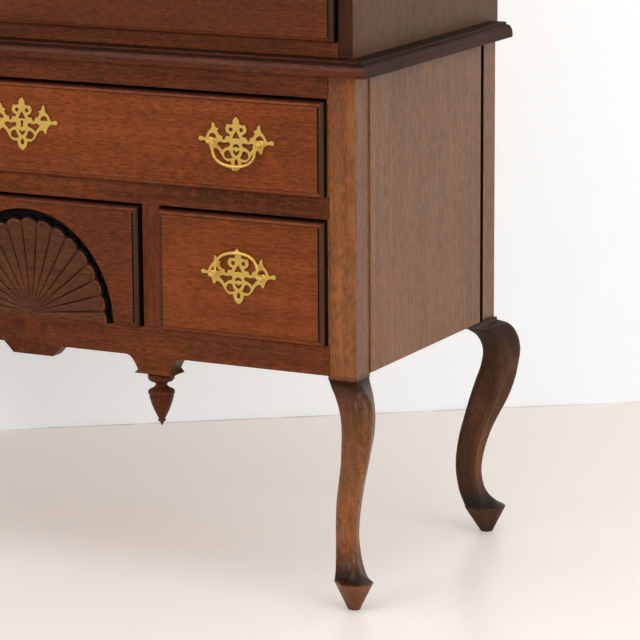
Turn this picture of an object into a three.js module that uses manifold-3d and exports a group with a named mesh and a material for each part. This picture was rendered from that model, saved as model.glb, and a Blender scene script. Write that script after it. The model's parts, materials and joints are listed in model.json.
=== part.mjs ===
// Highboy: a chest of long drawers standing on a lower case with cabriole legs.
// Lengths are in millimetres. X runs to the right, Y to the back and Z up from the floor.
import * as THREE from 'three';
import { mergeVertices } from 'three/addons/utils/BufferGeometryUtils.js';
import Module from 'manifold-3d';

const wasm = await Module();
wasm.setup();

// Clearances and cutting
const seat = 0.3;
const overrun = 5;

// Lower case
const caseWidth = 920;
const caseDepth = 413;
const post = 38;
const postRound = 3;
const postArris = 1;
const apronRise = 5;
const apronHeight = 37.6;
const smallOpening = 155;
const middleRail = 27.4;
const longOpening = 119.4;
const topRail = 46.2;
const railDepth = 20;
const boardThickness = 12;
const dividerWidth = 24.8;
const dividerPlace = 175.8;
const guideHeight = 12;
const guideGap = 0.5;
const panelThickness = 19;
const tongueThickness = 8;
const channelWidth = 16;
const backThickness = 10;

// Apron outline: drops under the dividers and a shallow tablet at the centre
const dropThickness = 32;
const dropDepth = 23;
const dropTopHalf = 39;
const dropWaistHalf = 22.5;
const dropTipHalf = 27.6;
const dropTipHeight = 5;
const dropCurveShares = [[0, 0], [0.345, 0.11], [0.636, 0.406], [0.855, 0.722], [1, 1]];
const tabletHalf = 43.3;
const tabletDepth = 14;

// Turned pendants under the drops
const pendantRadius = 17.1;
const pendantLength = 69.2;
const pendantSetback = 20;
const pendantSides = 8;
const pendantRadiusShares = [0.877, 1, 1, 0.526, 0.427, 0.731, 0.988, 0.988, 0.906, 0.626, 0.234, 0.292];
const pendantDropShares = [0, 0.075, 0.13, 0.173, 0.23, 0.303, 0.361, 0.413, 0.448, 0.666, 0.861, 0.896];

// Cabriole legs: each row is a level from the floor up, and the lengths are shares of the knee's reach
const legHeight = 288;
const kneeReach = 62.6;
const footHalf = 9.5;
const footPlace = 17;
const footRound = 4;
const shoulderDrop = 0.8;
const shoulderInset = 0.9;
const legShapeShares = [
  { height: 0.1215, outer: 0.671, inner: -0.209, side: 0.367, sideAt: 0.19, round: 0.06, outerRound: 0.288 },
  { height: 0.144, outer: 0.479, inner: -0.248, side: 0.327, sideAt: 0.08, round: 0.095, outerRound: 0.19 },
  { height: 0.17, outer: 0.32, inner: -0.3, side: 0.288, sideAt: -0.016, round: 0.104 },
  { height: 0.222, outer: 0.19, inner: -0.367, side: 0.256, sideAt: -0.088, round: 0.13 },
  { height: 0.295, outer: 0.139, inner: -0.42, side: 0.237, sideAt: -0.14, round: 0.15 },
  { height: 0.375, outer: 0.187, inner: -0.415, side: 0.243, sideAt: -0.115, round: 0.15 },
  { height: 0.465, outer: 0.32, inner: -0.347, side: 0.257, sideAt: -0.013, round: 0.16 },
  { height: 0.542, outer: 0.495, inner: -0.248, side: 0.265, sideAt: 0.123, round: 0.16 },
  { height: 0.628, outer: 0.725, inner: -0.128, side: 0.278, sideAt: 0.3, round: 0.17 },
  { height: 0.712, outer: 0.879, inner: 0.008, side: 0.304, sideAt: 0.43, round: 0.19 },
  { height: 0.785, outer: 0.957, inner: 0.136, side: 0.326, sideAt: 0.53, round: 0.21 },
  { height: 0.861, outer: 1, inner: 0.18, side: 0.347, sideAt: 0.53, round: 0.23 },
  { height: 0.927, outer: 0.922, inner: 0.04, side: 0.372, sideAt: 0.35, round: 0.23 },
  { height: 0.974, outer: 0.76, inner: -0.26, side: 0.394, sideAt: 0.14, round: 0.16 },
];

// Brackets that fill the angle between the rear legs and the side panels
const bracketLength = 55;
const bracketWidth = 22;
const bracketSwell = 4;
const bracketRun = 29;
const bracketDropShares = [0.02, 0.1, 0.4, 1];
const bracketPlaceShares = [0, 0.42, 0.8, 1];
const bracketDrop = 45;

// Moulding at the waist
const waistProjection = 24;
const waistDrop = 16;
const waistRise = 3.4;
const waistEdge = 4;
const waistEase = 1;
const waistRun = 7;
const waistFillet = 2;
const waistSteps = 4;
const waistBackInset = 9;

// Upper case
const upperInset = 7.4;
const upperOverhang = 14;
const upperSide = 20;
const bottomRail = 21.1;
const upperOpenings = [210, 182, 158, 137];
const upperRail = 20;
const frieze = 61;
const topBoard = 16;
const upperBackThickness = 8;

// Cornice round the top
const corniceHeight = 62;
const corniceProjection = 50;
const corniceOutShares = [0, 0.12, 0.16, 0.12, 0.16, 0.24, 0.42, 0.7, 0.76, 0.84, 0.96, 1, 1];
const corniceUpShares = [0, 0, 0.06, 0.12, 0.14, 0.42, 0.62, 0.7, 0.76, 0.78, 0.85, 0.92, 1];

// Drawers
const frontThickness = 20;
const frontProud = 11;
const frontSideGap = 2.5;
const frontTopGap = 3;
const lipWidth = 5;
const lipTop = 1.1;
const quirk = 0.8;
const trayWall = 10;
const trayBottom = 6;
const trayBottomRise = 4;
const trayTopDrop = 8;
const trayBackGap = 8;
const dovetail = 6;

// Carved shell on the centre drawer
const shellHalfWidth = 125.9;
const shellHeight = 135.3;
const shellRimInset = 6.5;
const shellLobeInset = 14;
const shellCentreRise = 3;
const shellRecess = 13;
const shellRoot = 3;
const shellHub = 5;
const shellRimDepth = 12;
const shellValley = 2;
const shellScallop = 5;
const lobeCount = 16;
const lobeSteps = 4;
const recessSteps = 36;
const shellRadiusShares = [0, 0.5, 0.9, 1];
const shellDepths = [9, 9.6, 6.6, 8];

// Pulls: a pierced plate, two ball-headed posts and a swan-neck bail
const postPitch = 69;
const pivotStandoff = 7.4;
const plateThickness = 1.6;
const plateWing = 18.2;
const plateHeight = 66.2;
const collarRadius = 4.4;
const shankRadius = 2;
const ballRadius = 3.2;
const ballFlat = 1;
const pullPostSides = 6;
const pinRadius = 1.1;
const pinSides = 5;
const bailInset = 5.3;
const bailDrop = 28.9;
const wireRadius = 1.7;
const nubLength = 5.4;
const nubHalfWidth = 3.6;
const nubHalfDepth = 2;
const bailLean = 9;
const pullInset = 118;
const pullRise = 3;
const escutcheonRise = 4.8;
const bailPlaceShares = [0.976, 1, 0.904, 0.65, 0.325, 0];
const bailDropShares = [0.07, 0.346, 0.637, 0.865, 0.976, 1];
const bailWireShares = [0.96, 1, 1, 1.03, 1.15, 1.32];

// Half of the plate's edge from the finial down to the teardrop, right of its middle line
const plateEdgeShares = [
  [0, 0.473], [0.08, 0.408], [0.061, 0.347], [0.239, 0.347], [0.277, 0.234], [0.175, 0.145],
  [0.271, 0.106], [0.321, 0.045], [0.391, 0.109], [0.518, 0.184], [0.463, 0.23], [0.55, 0.263],
  [0.645, 0.363], [0.7, 0.25], [0.835, 0.076], [0.949, 0.094], [1, 0.03],
  [0.729, -0.103], [0.641, -0.205], [0.588, -0.133], [0.465, -0.178],
  [0.265, -0.35], [0.12, -0.338], [0.127, -0.402], [0, -0.527],
];
const plateHoleShares = [
  [[0.143, 0.277], [0.191, 0.24], [0.143, 0.203], [0.095, 0.24]],
  [[0.649, 0.154], [0.732, 0.062], [0.52, 0.064]],
  [[0.182, 0.01], [0.459, 0.003], [0.512, -0.06], [0.376, -0.14], [0.186, -0.076]],
  [[0.201, -0.142], [0.296, -0.19], [0.265, -0.285], [0.102, -0.266]],
];
const plateMiddleHoleShares = [
  [[0, 0.211], [0.11, 0.073], [-0.11, 0.073]],
  [[-0.114, -0.127], [0, -0.151], [0.114, -0.127], [0, -0.227]],
  [[0, -0.299], [0.053, -0.363], [0, -0.417], [-0.053, -0.363]],
];
const crescentHoleShares = [[-0.099, -0.074], [-0.061, -0.024], [0.061, -0.024], [0.099, -0.074]];
const keyholeShares = [[-0.024, -0.095], [-0.05, 0.02], [0, 0.048], [0.05, 0.02], [0.024, -0.095]];

// Levels and places worked out from the sizes above
const halfCase = caseWidth / 2;
const postInner = halfCase - post;
const postAxis = halfCase - post / 2;
const postCorner = post / Math.SQRT2;
const apronBottom = legHeight + apronRise;
const smallBottom = apronBottom + apronHeight;
const smallTop = smallBottom + smallOpening;
const longBottom = smallTop + middleRail;
const longTop = longBottom + longOpening;
const lowerTop = longTop + topRail;
const rearPostFront = caseDepth - post;
const lowerBackFront = caseDepth - backThickness;
const panelInner = halfCase - panelThickness;
const halfUpper = halfCase - upperInset;
const upperInner = halfUpper - upperSide;
const upperBottom = lowerTop + seat;
const upperRear = caseDepth + upperOverhang;
const upperBackFront = upperRear - upperBackThickness;
const upperDrawerBottoms = upperOpenings.map(
  (opening, i) => upperBottom + bottomRail + upperOpenings.slice(0, i).reduce((sum, h) => sum + h + upperRail, 0),
);
const lastOpening = upperOpenings.length - 1;
const friezeBottom = upperDrawerBottoms[lastOpening] + upperOpenings[lastOpening];
const topBoardBottom = friezeBottom + frieze;
const upperTop = topBoardBottom + topBoard;
const frontFace = -frontProud;
const frontBack = frontFace + frontThickness;
const lipEase = lipWidth * (1 - Math.SQRT1_2);
const pullPlace = postInner - pullInset;
const plateHalfWidth = postPitch / 2 + plateWing;
const bailHalf = postPitch / 2 - bailInset;
const socketRadius = (pinRadius + seat) / Math.cos(Math.PI / pinSides);
const pivotOut = seat + plateThickness + pivotStandoff;
const pendantTop = apronBottom - dropDepth - seat;

// Closed meshes, solids and simple shapes

function closedMesh(points, faces) {
  let volume = 0;
  for (const [a, b, c] of faces) {
    volume += points[a].dot(new THREE.Vector3().crossVectors(points[b], points[c]));
  }
  const index = volume < 0 ? faces.flatMap(([a, b, c]) => [a, c, b]) : faces.flat();
  const geometry = new THREE.BufferGeometry();
  geometry.setAttribute('position', new THREE.Float32BufferAttribute(points.flatMap((p) => p.toArray()), 3));
  geometry.setIndex(index);
  return geometry;
}

function toSolid(geometry) {
  const bare = geometry.clone();
  bare.deleteAttribute('normal');
  bare.deleteAttribute('uv');
  const merged = mergeVertices(bare);
  return new wasm.Manifold(new wasm.Mesh({
    numProp: 3,
    vertProperties: new Float32Array(merged.attributes.position.array),
    triVerts: new Uint32Array(merged.index.array),
  }));
}

function toGeometry(solid) {
  const mesh = solid.getMesh();
  const geometry = new THREE.BufferGeometry();
  geometry.setAttribute('position', new THREE.BufferAttribute(new Float32Array(mesh.vertProperties), 3));
  geometry.setIndex(new THREE.BufferAttribute(new Uint32Array(mesh.triVerts), 1));
  return geometry;
}

function join(...geometries) {
  const solids = geometries.map(toSolid);
  return toGeometry(solids.reduce((sum, solid) => sum.add(solid)));
}

function cut(geometry, ...tools) {
  return toGeometry(tools.map(toSolid).reduce((rest, tool) => rest.subtract(tool), toSolid(geometry)));
}

function mirrored(geometry) {
  return toGeometry(toSolid(geometry).mirror([1, 0, 0]));
}

// A box between two corners
function block([x0, y0, z0], [x1, y1, z1]) {
  const geometry = new THREE.BoxGeometry(x1 - x0, y1 - y0, z1 - z0);
  return geometry.translate((x0 + x1) / 2, (y0 + y1) / 2, (z0 + z1) / 2);
}

function shapeOf(points, holes = []) {
  const outline = points.map(([x, y]) => new THREE.Vector2(x, y));
  const shape = new THREE.Shape(THREE.ShapeUtils.isClockWise(outline) ? outline.reverse() : outline);
  shape.holes = holes.map((hole) => new THREE.Path(hole.map(([x, y]) => new THREE.Vector2(x, y))));
  return shape;
}

// An outline drawn on the front (X, Z), from one depth forward to another
function frontPrism(shape, back, front) {
  const geometry = new THREE.ExtrudeGeometry(shape, { depth: back - front, bevelEnabled: false });
  const turn = new THREE.Matrix4().makeBasis(
    new THREE.Vector3(1, 0, 0), new THREE.Vector3(0, 0, 1), new THREE.Vector3(0, -1, 0),
  );
  return geometry.applyMatrix4(turn).translate(0, back, 0);
}

// An outline drawn from above (X, Y), between two levels
function planPrism(points, bottom, top) {
  const geometry = new THREE.ExtrudeGeometry(shapeOf(points), { depth: top - bottom, bevelEnabled: false });
  return geometry.translate(0, 0, bottom);
}

// An outline drawn from the side (Y, Z), between two places across the case
function sidePrism(points, left, right) {
  const geometry = new THREE.ExtrudeGeometry(shapeOf(points), { depth: right - left, bevelEnabled: false });
  const turn = new THREE.Matrix4().makeBasis(
    new THREE.Vector3(0, 1, 0), new THREE.Vector3(0, 0, 1), new THREE.Vector3(1, 0, 0),
  );
  return geometry.applyMatrix4(turn).translate(left, 0, 0);
}

// Rings with the same number of points, skinned from the first to the last and capped
function loft(rings, capOutline = null) {
  const count = rings[0].length;
  const points = rings.flat();
  const faces = [];
  for (let r = 0; r < rings.length - 1; r += 1) {
    for (let i = 0; i < count; i += 1) {
      const a = r * count + i;
      const b = r * count + (i + 1) % count;
      faces.push([a, b, b + count], [a, b + count, a + count]);
    }
  }
  const cap = capOutline
    ? THREE.ShapeUtils.triangulateShape(capOutline, [])
    : rings[0].slice(2).map((_, i) => [0, i + 1, i + 2]);
  const last = (rings.length - 1) * count;
  const ahead = !capOutline || !THREE.ShapeUtils.isClockWise(capOutline);
  for (const [a, b, c] of cap) {
    const near = ahead ? [a, c, b] : [a, b, c];
    const far = ahead ? [a, b, c] : [a, c, b];
    faces.push(near, far.map((v) => v + last));
  }
  return closedMesh(points, faces);
}

// A moulding of one profile (out, up), mitred round the left side, the front and the right side
function mitredRun(profile, half, front, back, base) {
  const stations = [
    (out) => [-half - out, back],
    (out) => [-half - out, front - out],
    (out) => [half + out, front - out],
    (out) => [half + out, back],
  ];
  const rings = stations.map((at) => profile.map(([out, up]) => new THREE.Vector3(...at(out), base + up)));
  return loft(rings, profile.map(([out, up]) => new THREE.Vector2(out, up)));
}

// Legs

// One level of a leg: four corners on the diagonals, each rounded with three points
function legRing(toward, level) {
  const { height, outer, inner, side, sideAt, round, outerRound = round } = level;
  const corners = [
    [outer - outerRound, 0, outerRound],
    [sideAt, side - round, round],
    [inner + round, 0, round],
    [sideAt, round - side, round],
  ];
  return corners.flatMap(([along, across, radius], corner) => [-1, 0, 1].map((turn) => {
    const angle = (corner * 2 + turn) * Math.PI / 4;
    const u = along + radius * Math.cos(angle);
    const w = across + radius * Math.sin(angle);
    const x = toward[0] * (u + w) / Math.SQRT2;
    const y = toward[1] * (u - w) / Math.SQRT2;
    return new THREE.Vector3(x, y, height);
  }));
}

function roundedReach(reach, round) {
  return reach - round * (Math.SQRT2 - 1);
}

// The leg and its post are one piece. The grown copy cuts clearance in a neighbour.
function leg(toward, grow = 0) {
  const square = (height) => ({
    height,
    outer: roundedReach(postCorner, postRound) + grow,
    inner: -roundedReach(postCorner, postArris) - grow,
    side: roundedReach(postCorner, postArris) + grow,
    sideAt: 0,
    round: postArris,
    outerRound: postRound,
  });
  const base = {
    height: -grow,
    outer: footPlace + footHalf + grow,
    inner: footPlace - footHalf - grow,
    side: footHalf + grow,
    sideAt: footPlace,
    round: footRound,
  };
  const shaft = legShapeShares.map((row) => ({
    height: row.height * legHeight,
    outer: row.outer * kneeReach + grow,
    inner: row.inner * kneeReach - grow,
    side: row.side * kneeReach + grow,
    sideAt: row.sideAt * kneeReach,
    round: row.round * kneeReach,
    outerRound: (row.outerRound ?? row.round) * kneeReach,
  }));
  const shoulder = {
    height: legHeight - shoulderDrop,
    outer: roundedReach(postCorner, postRound) + postRound,
    inner: -roundedReach(postCorner, postRound) + shoulderInset - grow,
    side: roundedReach(postCorner, postRound) - shoulderInset + grow,
    sideAt: 0,
    round: postRound,
  };
  const levels = [base, ...shaft, shoulder, square(legHeight), square(lowerTop)];
  return loft(levels.map((level) => legRing(toward, level)));
}

// A bracket beside the right rear leg, cut to the leg's shape
function rearBracket() {
  const inner = panelInner;
  const stations = bracketPlaceShares.map((place, i) => {
    const y = rearPostFront - bracketLength + place * (bracketLength + bracketRun);
    const top = apronBottom - seat;
    const bottom = top - bracketDropShares[i] * bracketDrop;
    const outer = halfCase + place * bracketSwell;
    const left = place < 1 ? inner : outer - bracketWidth / 2;
    return [[left, bottom], [outer, bottom], [outer, top], [left, top]].map(
      ([x, z]) => new THREE.Vector3(x, y, Math.min(z, top)),
    );
  });
  const grown = leg([1, 1], seat).translate(postAxis, caseDepth - post / 2, 0);
  const pieces = toSolid(loft(stations)).subtract(toSolid(grown)).decompose();
  const largest = pieces.sort((a, b) => b.volume() - a.volume())[0];
  return toGeometry(largest);
}

// Lower case

function sidePanel() {
  const y0 = post + seat;
  const y1 = rearPostFront - channelWidth;
  const y2 = rearPostFront - seat;
  const x0 = panelInner;
  const x1 = panelInner + tongueThickness;
  const plan = [[x0, y0], [halfCase, y0], [halfCase, y1], [x1, y1], [x1, y2], [x0, y2]];
  return planPrism(plan, apronBottom, lowerTop);
}

function lowerBack() {
  const x = postInner - seat;
  return block([-x, lowerBackFront, apronBottom], [x, caseDepth, lowerTop]);
}

// A front rail with a thinner board behind it that the drawers run on
function railAndBoard(half, front, back, bottom, top) {
  const y1 = front + railDepth;
  const z1 = top - boardThickness;
  return sidePrism([[front, bottom], [y1, bottom], [y1, z1], [back, z1], [back, top], [front, top]], -half, half);
}

// Between the posts the board reaches out to the side panels
function boardEars(top) {
  const x = panelInner - seat;
  return block([-x, post + seat, top - boardThickness], [x, rearPostFront - seat, top]);
}

// A strip on a board, which keeps the drawer beside it from moving across
function guide(left, right, front, back, top) {
  return block([left, front, top - boardThickness], [right, back, top + guideHeight]);
}

// Strips beside the posts, which fill the space between the drawer and the side panel
function sideGuides(top) {
  const near = postInner + guideGap;
  const far = panelInner - guideGap;
  const ends = [post + seat, rearPostFront - seat, top];
  return [guide(near, far, ...ends), guide(-far, -near, ...ends)];
}

// Strips behind the two dividers
function dividerGuides(top) {
  const half = dividerWidth / 2;
  return [-dividerPlace, dividerPlace].map(
    (x) => guide(x - half, x + half, railDepth + seat, lowerBackFront - seat, top),
  );
}

function middleFrame() {
  const back = lowerBackFront - seat;
  const board = railAndBoard(postInner - seat, 0, back, smallTop + seat, longBottom);
  return join(board, boardEars(longBottom), ...sideGuides(longBottom));
}

function bottomFrame() {
  const x = postInner - seat;
  const board = block(
    [-x, railDepth + seat, smallBottom - boardThickness], [x, lowerBackFront - seat, smallBottom],
  );
  return join(board, boardEars(smallBottom), ...sideGuides(smallBottom), ...dividerGuides(smallBottom));
}

function lowerTopBoard() {
  const back = lowerBackFront - seat;
  return railAndBoard(postInner - seat, 0, back, longTop, lowerTop);
}

// One side of a drop: a hollow curve down to its waist, then a lip that widens to the tip
function dropEdge(side) {
  const run = dropTopHalf - dropWaistHalf;
  const fall = dropDepth - dropTipHeight;
  const curve = dropCurveShares.map(([inward, down]) => [dropTopHalf - inward * run, -down * fall]);
  return [...curve, [dropTipHalf, -dropDepth]].map(([x, z]) => [side * x, apronBottom + z]);
}

function apron() {
  const x = postInner - seat;
  const right = [
    [tabletHalf - tabletDepth, apronBottom - tabletDepth],
    [tabletHalf, apronBottom],
    ...dropEdge(-1).map(([dx, z]) => [dividerPlace + dx, z]),
    ...dropEdge(1).reverse().map(([dx, z]) => [dividerPlace + dx, z]),
    [x, apronBottom],
    [x, smallBottom],
  ];
  const left = right.map(([px, z]) => [-px, z]).reverse();
  const board = frontPrism(shapeOf([...left, ...right]), railDepth, 0);
  const blockTop = smallBottom - boardThickness - seat;
  const blocks = [-dividerPlace, dividerPlace].map((centre) => {
    const edge = [...dropEdge(-1), ...dropEdge(1).reverse()].map(([dx, z]) => [centre + dx, z]);
    const top = [[centre + dropTopHalf, blockTop], [centre - dropTopHalf, blockTop]];
    return frontPrism(shapeOf([...edge, ...top]), dropThickness, 0);
  });
  return join(board, ...blocks);
}

function divider(centre) {
  const x0 = centre - dividerWidth / 2;
  return block([x0, 0, smallBottom + seat], [x0 + dividerWidth, railDepth, smallTop]);
}

function pendant() {
  const profile = pendantRadiusShares.map(
    (share, i) => new THREE.Vector2(share * pendantRadius, -pendantDropShares[i] * pendantLength),
  );
  const outline = [new THREE.Vector2(0, 0), ...profile, new THREE.Vector2(0, -pendantLength)].reverse();
  return new THREE.LatheGeometry(outline, pendantSides).rotateX(Math.PI / 2);
}

function waistMoulding() {
  const nosing = [];
  for (let i = 0; i <= waistSteps; i += 1) {
    const angle = (i / waistSteps) * Math.PI / 2;
    nosing.push([
      waistProjection - waistRun + waistRun * Math.cos(angle),
      waistEdge + (waistDrop - waistEdge) * Math.sin(angle),
    ]);
  }
  const fillet = waistProjection - waistRun - waistFillet;
  const lap = seat - upperInset;
  const top = waistDrop + waistRise;
  const profile = [
    [seat, 0],
    [waistProjection - waistEase, 0],
    [waistProjection, waistEase],
    ...nosing,
    [fillet, waistDrop],
    [fillet, top],
    [lap, top],
    [lap, waistDrop + seat],
    [seat, waistDrop + seat],
  ];
  return mitredRun(profile, halfCase, 0, caseDepth - waistBackInset, lowerTop - waistDrop);
}

// Upper case

function upperSideBoard(side) {
  const inner = side * upperInner;
  const outer = side * halfUpper;
  const [x0, x1] = side > 0 ? [inner, outer] : [outer, inner];
  return block([x0, upperInset, upperBottom], [x1, upperRear, topBoardBottom - seat]);
}

function upperBack() {
  const x = upperInner - seat;
  return block([-x, upperBackFront, upperBottom], [x, upperRear, topBoardBottom - seat]);
}

function upperShelf(bottom, top) {
  return railAndBoard(upperInner - seat, upperInset, upperBackFront - seat, bottom, top);
}

// The top board, with the rail of the frieze under its front edge
function upperTopBoard() {
  const x = upperInner - seat;
  const rail = block([-x, upperInset, friezeBottom], [x, upperInset + railDepth, topBoardBottom]);
  return join(rail, block([-halfUpper, upperInset, topBoardBottom], [halfUpper, upperRear, upperTop]));
}

function cornice() {
  const profile = corniceOutShares.map((out, i) => [
    Math.max(out * corniceProjection, seat), corniceUpShares[i] * corniceHeight,
  ]);
  profile.push([seat, corniceHeight]);
  return mitredRun(profile, halfUpper, upperInset, upperRear, upperTop - corniceHeight);
}

// Drawers, each in its own frame: X from the middle of the opening, Z from its floor

function drawerFront(width, height) {
  const half = width / 2 - frontSideGap;
  const z0 = seat;
  const z1 = height - frontTopGap;
  const levels = [
    [0, frontBack],
    [0, frontFace + lipTop + lipWidth],
    [lipEase, frontFace + lipTop + lipEase],
    [lipWidth, frontFace + lipTop],
    [lipWidth + quirk, frontFace],
  ];
  const rings = levels.map(([inset, y]) => [
    new THREE.Vector3(-half + inset, y, z0 + inset),
    new THREE.Vector3(half - inset, y, z0 + inset),
    new THREE.Vector3(half - inset, y, z1 - inset),
    new THREE.Vector3(-half + inset, y, z1 - inset),
  ]);
  return loft(rings);
}

// A tray of sides, back and raised bottom, dovetailed into the back of the drawer's front
function drawerBox(width, height, back) {
  const half = width / 2 - frontSideGap;
  const y1 = back - trayBackGap;
  const top = height - trayTopDrop;
  const floor = seat + trayBottomRise;
  const inside = half - trayWall;
  const body = block([-half, frontBack - dovetail, seat], [half, y1, top]);
  const hollow = block([-inside, frontBack, floor + trayBottom], [inside, y1 - trayWall, top + overrun]);
  const under = block([-inside, frontBack, seat - overrun], [inside, y1 - trayWall, floor]);
  return cut(body, hollow, under);
}

// The carved shell: lobes that fan out from the foot of the drawer's front

// The edge of the shell's recess: a half round that rises a little to its middle
function shellEdge(angle, inset) {
  return shellHalfWidth + (shellHeight - shellHalfWidth) * Math.sin(angle) ** 3 - inset;
}

// One line of the fan from its hub to its tip, on a lobe's crest at a lift of 1 and in a valley at 0
function shellColumn(angle, lift, drop) {
  const valley = (1 - lift) * shellValley;
  const reach = shellEdge(angle, shellLobeInset) - shellHub - (1 - lift) * shellScallop;
  return shellRadiusShares.map((share, i) => {
    const r = shellHub + share * reach;
    const depth = shellDepths[i] + valley * Math.min(1, share * 2);
    return new THREE.Vector3(r * Math.cos(angle), frontFace + depth, r * Math.sin(angle) - drop);
  });
}

function shellFan() {
  const columns = [];
  const steps = lobeCount * lobeSteps;
  for (let i = 0; i <= steps; i += 1) {
    const angle = (i / steps) * Math.PI;
    const across = Math.abs(((i / lobeSteps) % 1) - 0.5) * 2;
    columns.push(shellColumn(angle, Math.sin(across * Math.PI / 2) ** 0.7, 0));
  }
  columns.unshift(shellColumn(0, 1, shellCentreRise));
  columns.push(shellColumn(Math.PI, 1, shellCentreRise));
  const rows = shellRadiusShares.length;
  const top = columns.flat();
  const under = top.map((p) => new THREE.Vector3(p.x, frontFace + shellRecess + shellRoot, p.z));
  const faces = [];
  const count = top.length;
  const quad = (a, b, c, d) => faces.push([a, b, c], [a, c, d]);
  for (let i = 0; i < columns.length - 1; i += 1) {
    const near = i * rows;
    const far = near + rows;
    for (let j = 0; j < rows - 1; j += 1) {
      quad(near + j, near + j + 1, far + j + 1, far + j);
      quad(near + j + count, far + j + count, far + j + 1 + count, near + j + 1 + count);
    }
    quad(near, far, far + count, near + count);
    quad(near + rows - 1, near + rows - 1 + count, far + rows - 1 + count, far + rows - 1);
  }
  const end = (columns.length - 1) * rows;
  for (let j = 0; j < rows - 1; j += 1) {
    quad(j, j + count, j + 1 + count, j + 1);
    quad(end + j, end + j + 1, end + j + 1 + count, end + j + count);
  }
  return closedMesh([...top, ...under], faces);
}

// The sunk half round that the shell lies in, and the low scalloped rim round its lobes
function shellHalfRound(inset, drop) {
  const points = [[shellHalfWidth - inset, -drop]];
  for (let i = 0; i <= recessSteps; i += 1) {
    const angle = (i / recessSteps) * Math.PI;
    const r = shellEdge(angle, inset);
    points.push([r * Math.cos(angle), r * Math.sin(angle)]);
  }
  points.push([inset - shellHalfWidth, -drop]);
  return points;
}

function shellFront(width, height) {
  const lift = seat + shellCentreRise;
  const front = drawerFront(width, height);
  const recess = frontPrism(
    shapeOf(shellHalfRound(0, shellCentreRise + overrun)), frontFace + shellRecess, frontFace - overrun,
  ).translate(0, 0, lift);
  const rim = frontPrism(
    shapeOf(shellHalfRound(shellRimInset, shellCentreRise)),
    frontFace + shellRecess + shellRoot, frontFace + shellRimDepth,
  ).translate(0, 0, lift);
  const fan = shellFan().translate(0, 0, lift);
  return join(cut(front, recess), rim, fan);
}

// Pulls, each in its own frame with the hinge line of the bail as X

function scaledOutline(shares, side = 1) {
  return shares.map(([x, z]) => [side * x * plateHalfWidth, z * plateHeight]);
}

// The pierced plate, with the hole at its heart given: a crescent under a pull, or a keyhole
function plate(heartShares) {
  const right = scaledOutline(plateEdgeShares);
  const left = scaledOutline(plateEdgeShares.slice(1, -1), -1).reverse();
  const holes = plateHoleShares.flatMap((hole) => [scaledOutline(hole), scaledOutline(hole, -1)]);
  const middle = [...plateMiddleHoleShares, heartShares].map((hole) => scaledOutline(hole));
  return frontPrism(shapeOf([...right, ...left], [...holes, ...middle]), pivotStandoff + plateThickness, pivotStandoff);
}

// A bolt with a collar on the plate and a ball head, which holds one end of the bail
function pullPost(side) {
  const outline = [
    [0, -plateThickness / 2],
    [collarRadius, -plateThickness / 2],
    [shankRadius, pivotStandoff - ballRadius],
    [ballRadius, pivotStandoff - ballFlat],
    [ballRadius, pivotStandoff + ballFlat],
    [0, pivotStandoff + ballRadius],
  ].map(([r, out]) => new THREE.Vector2(r, out));
  const turned = new THREE.LatheGeometry(outline, pullPostSides).rotateX(Math.PI).translate(0, pivotStandoff, 0);
  const socket = new THREE.CylinderGeometry(socketRadius, socketRadius, ballRadius + overrun, pinSides);
  socket.rotateZ(Math.PI / 2).translate(-(ballRadius + overrun) / 2, 0, 0);
  if (side < 0) {
    socket.rotateZ(Math.PI);
  }
  return cut(turned, socket).translate(side * postPitch / 2, 0, 0);
}

function pullPlate() {
  return join(plate(crescentHoleShares), pullPost(-1), pullPost(1));
}

// The bail is a wire of changing thickness, so its rings are skinned one by one
function bail() {
  const half = [
    [postPitch / 2 - seat, 0, pinRadius],
    [postPitch / 2 - ballRadius - seat, 0, pinRadius],
    ...bailPlaceShares.map((share, i) => [
      share * bailHalf, -bailDropShares[i] * bailDrop, bailWireShares[i] * wireRadius,
    ]),
  ];
  const path = [...half, ...half.slice(0, -1).reverse().map(([x, z, r]) => [-x, z, r])];
  const rings = path.map(([x, z, radius], i) => {
    const before = path[Math.max(i - 1, 0)];
    const after = path[Math.min(i + 1, path.length - 1)];
    const along = new THREE.Vector3(after[0] - before[0], 0, after[1] - before[1]).normalize();
    const across = new THREE.Vector3(along.z, 0, -along.x);
    return Array.from({ length: pinSides }, (_, k) => {
      const angle = (k / pinSides) * Math.PI * 2;
      return new THREE.Vector3(x, 0, z)
        .addScaledVector(across, radius * Math.cos(angle))
        .add(new THREE.Vector3(0, radius * Math.sin(angle), 0));
    });
  });
  const nub = new THREE.LatheGeometry([
    new THREE.Vector2(0, -nubLength),
    new THREE.Vector2(nubHalfWidth, -nubLength / 3),
    new THREE.Vector2(0, 0),
  ], pinSides).rotateX(Math.PI / 2).scale(1, nubHalfDepth / nubHalfWidth, 1).translate(0, 0, -bailDrop);
  return join(loft(rings), nub);
}

// Assembly

const finishes = {
  mahogany: { color: 0x6b3420, roughness: 0.38, metalness: 0 },
  post: { color: 0x74401f, roughness: 0.4, metalness: 0 },
  side: { color: 0x6a4636, roughness: 0.35, metalness: 0 },
  moulding: { color: 0x4a2618, roughness: 0.35, metalness: 0 },
  inside: { color: 0xb08a5c, roughness: 0.7, metalness: 0 },
  brass: { color: 0xc79a45, roughness: 0.32, metalness: 1 },
};

const highboy = new THREE.Group();
const lowerCase = new THREE.Group();
const upperCase = new THREE.Group();
highboy.add(lowerCase, upperCase);

function add(parent, name, geometry, finish, place = [0, 0, 0], turn = 0) {
  const mesh = new THREE.Mesh(geometry, new THREE.MeshStandardMaterial(finishes[finish]));
  mesh.geometry.computeVertexNormals();
  mesh.name = name;
  mesh.position.set(...place);
  mesh.rotation.x = turn;
  parent.add(mesh);
  return mesh;
}

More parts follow.
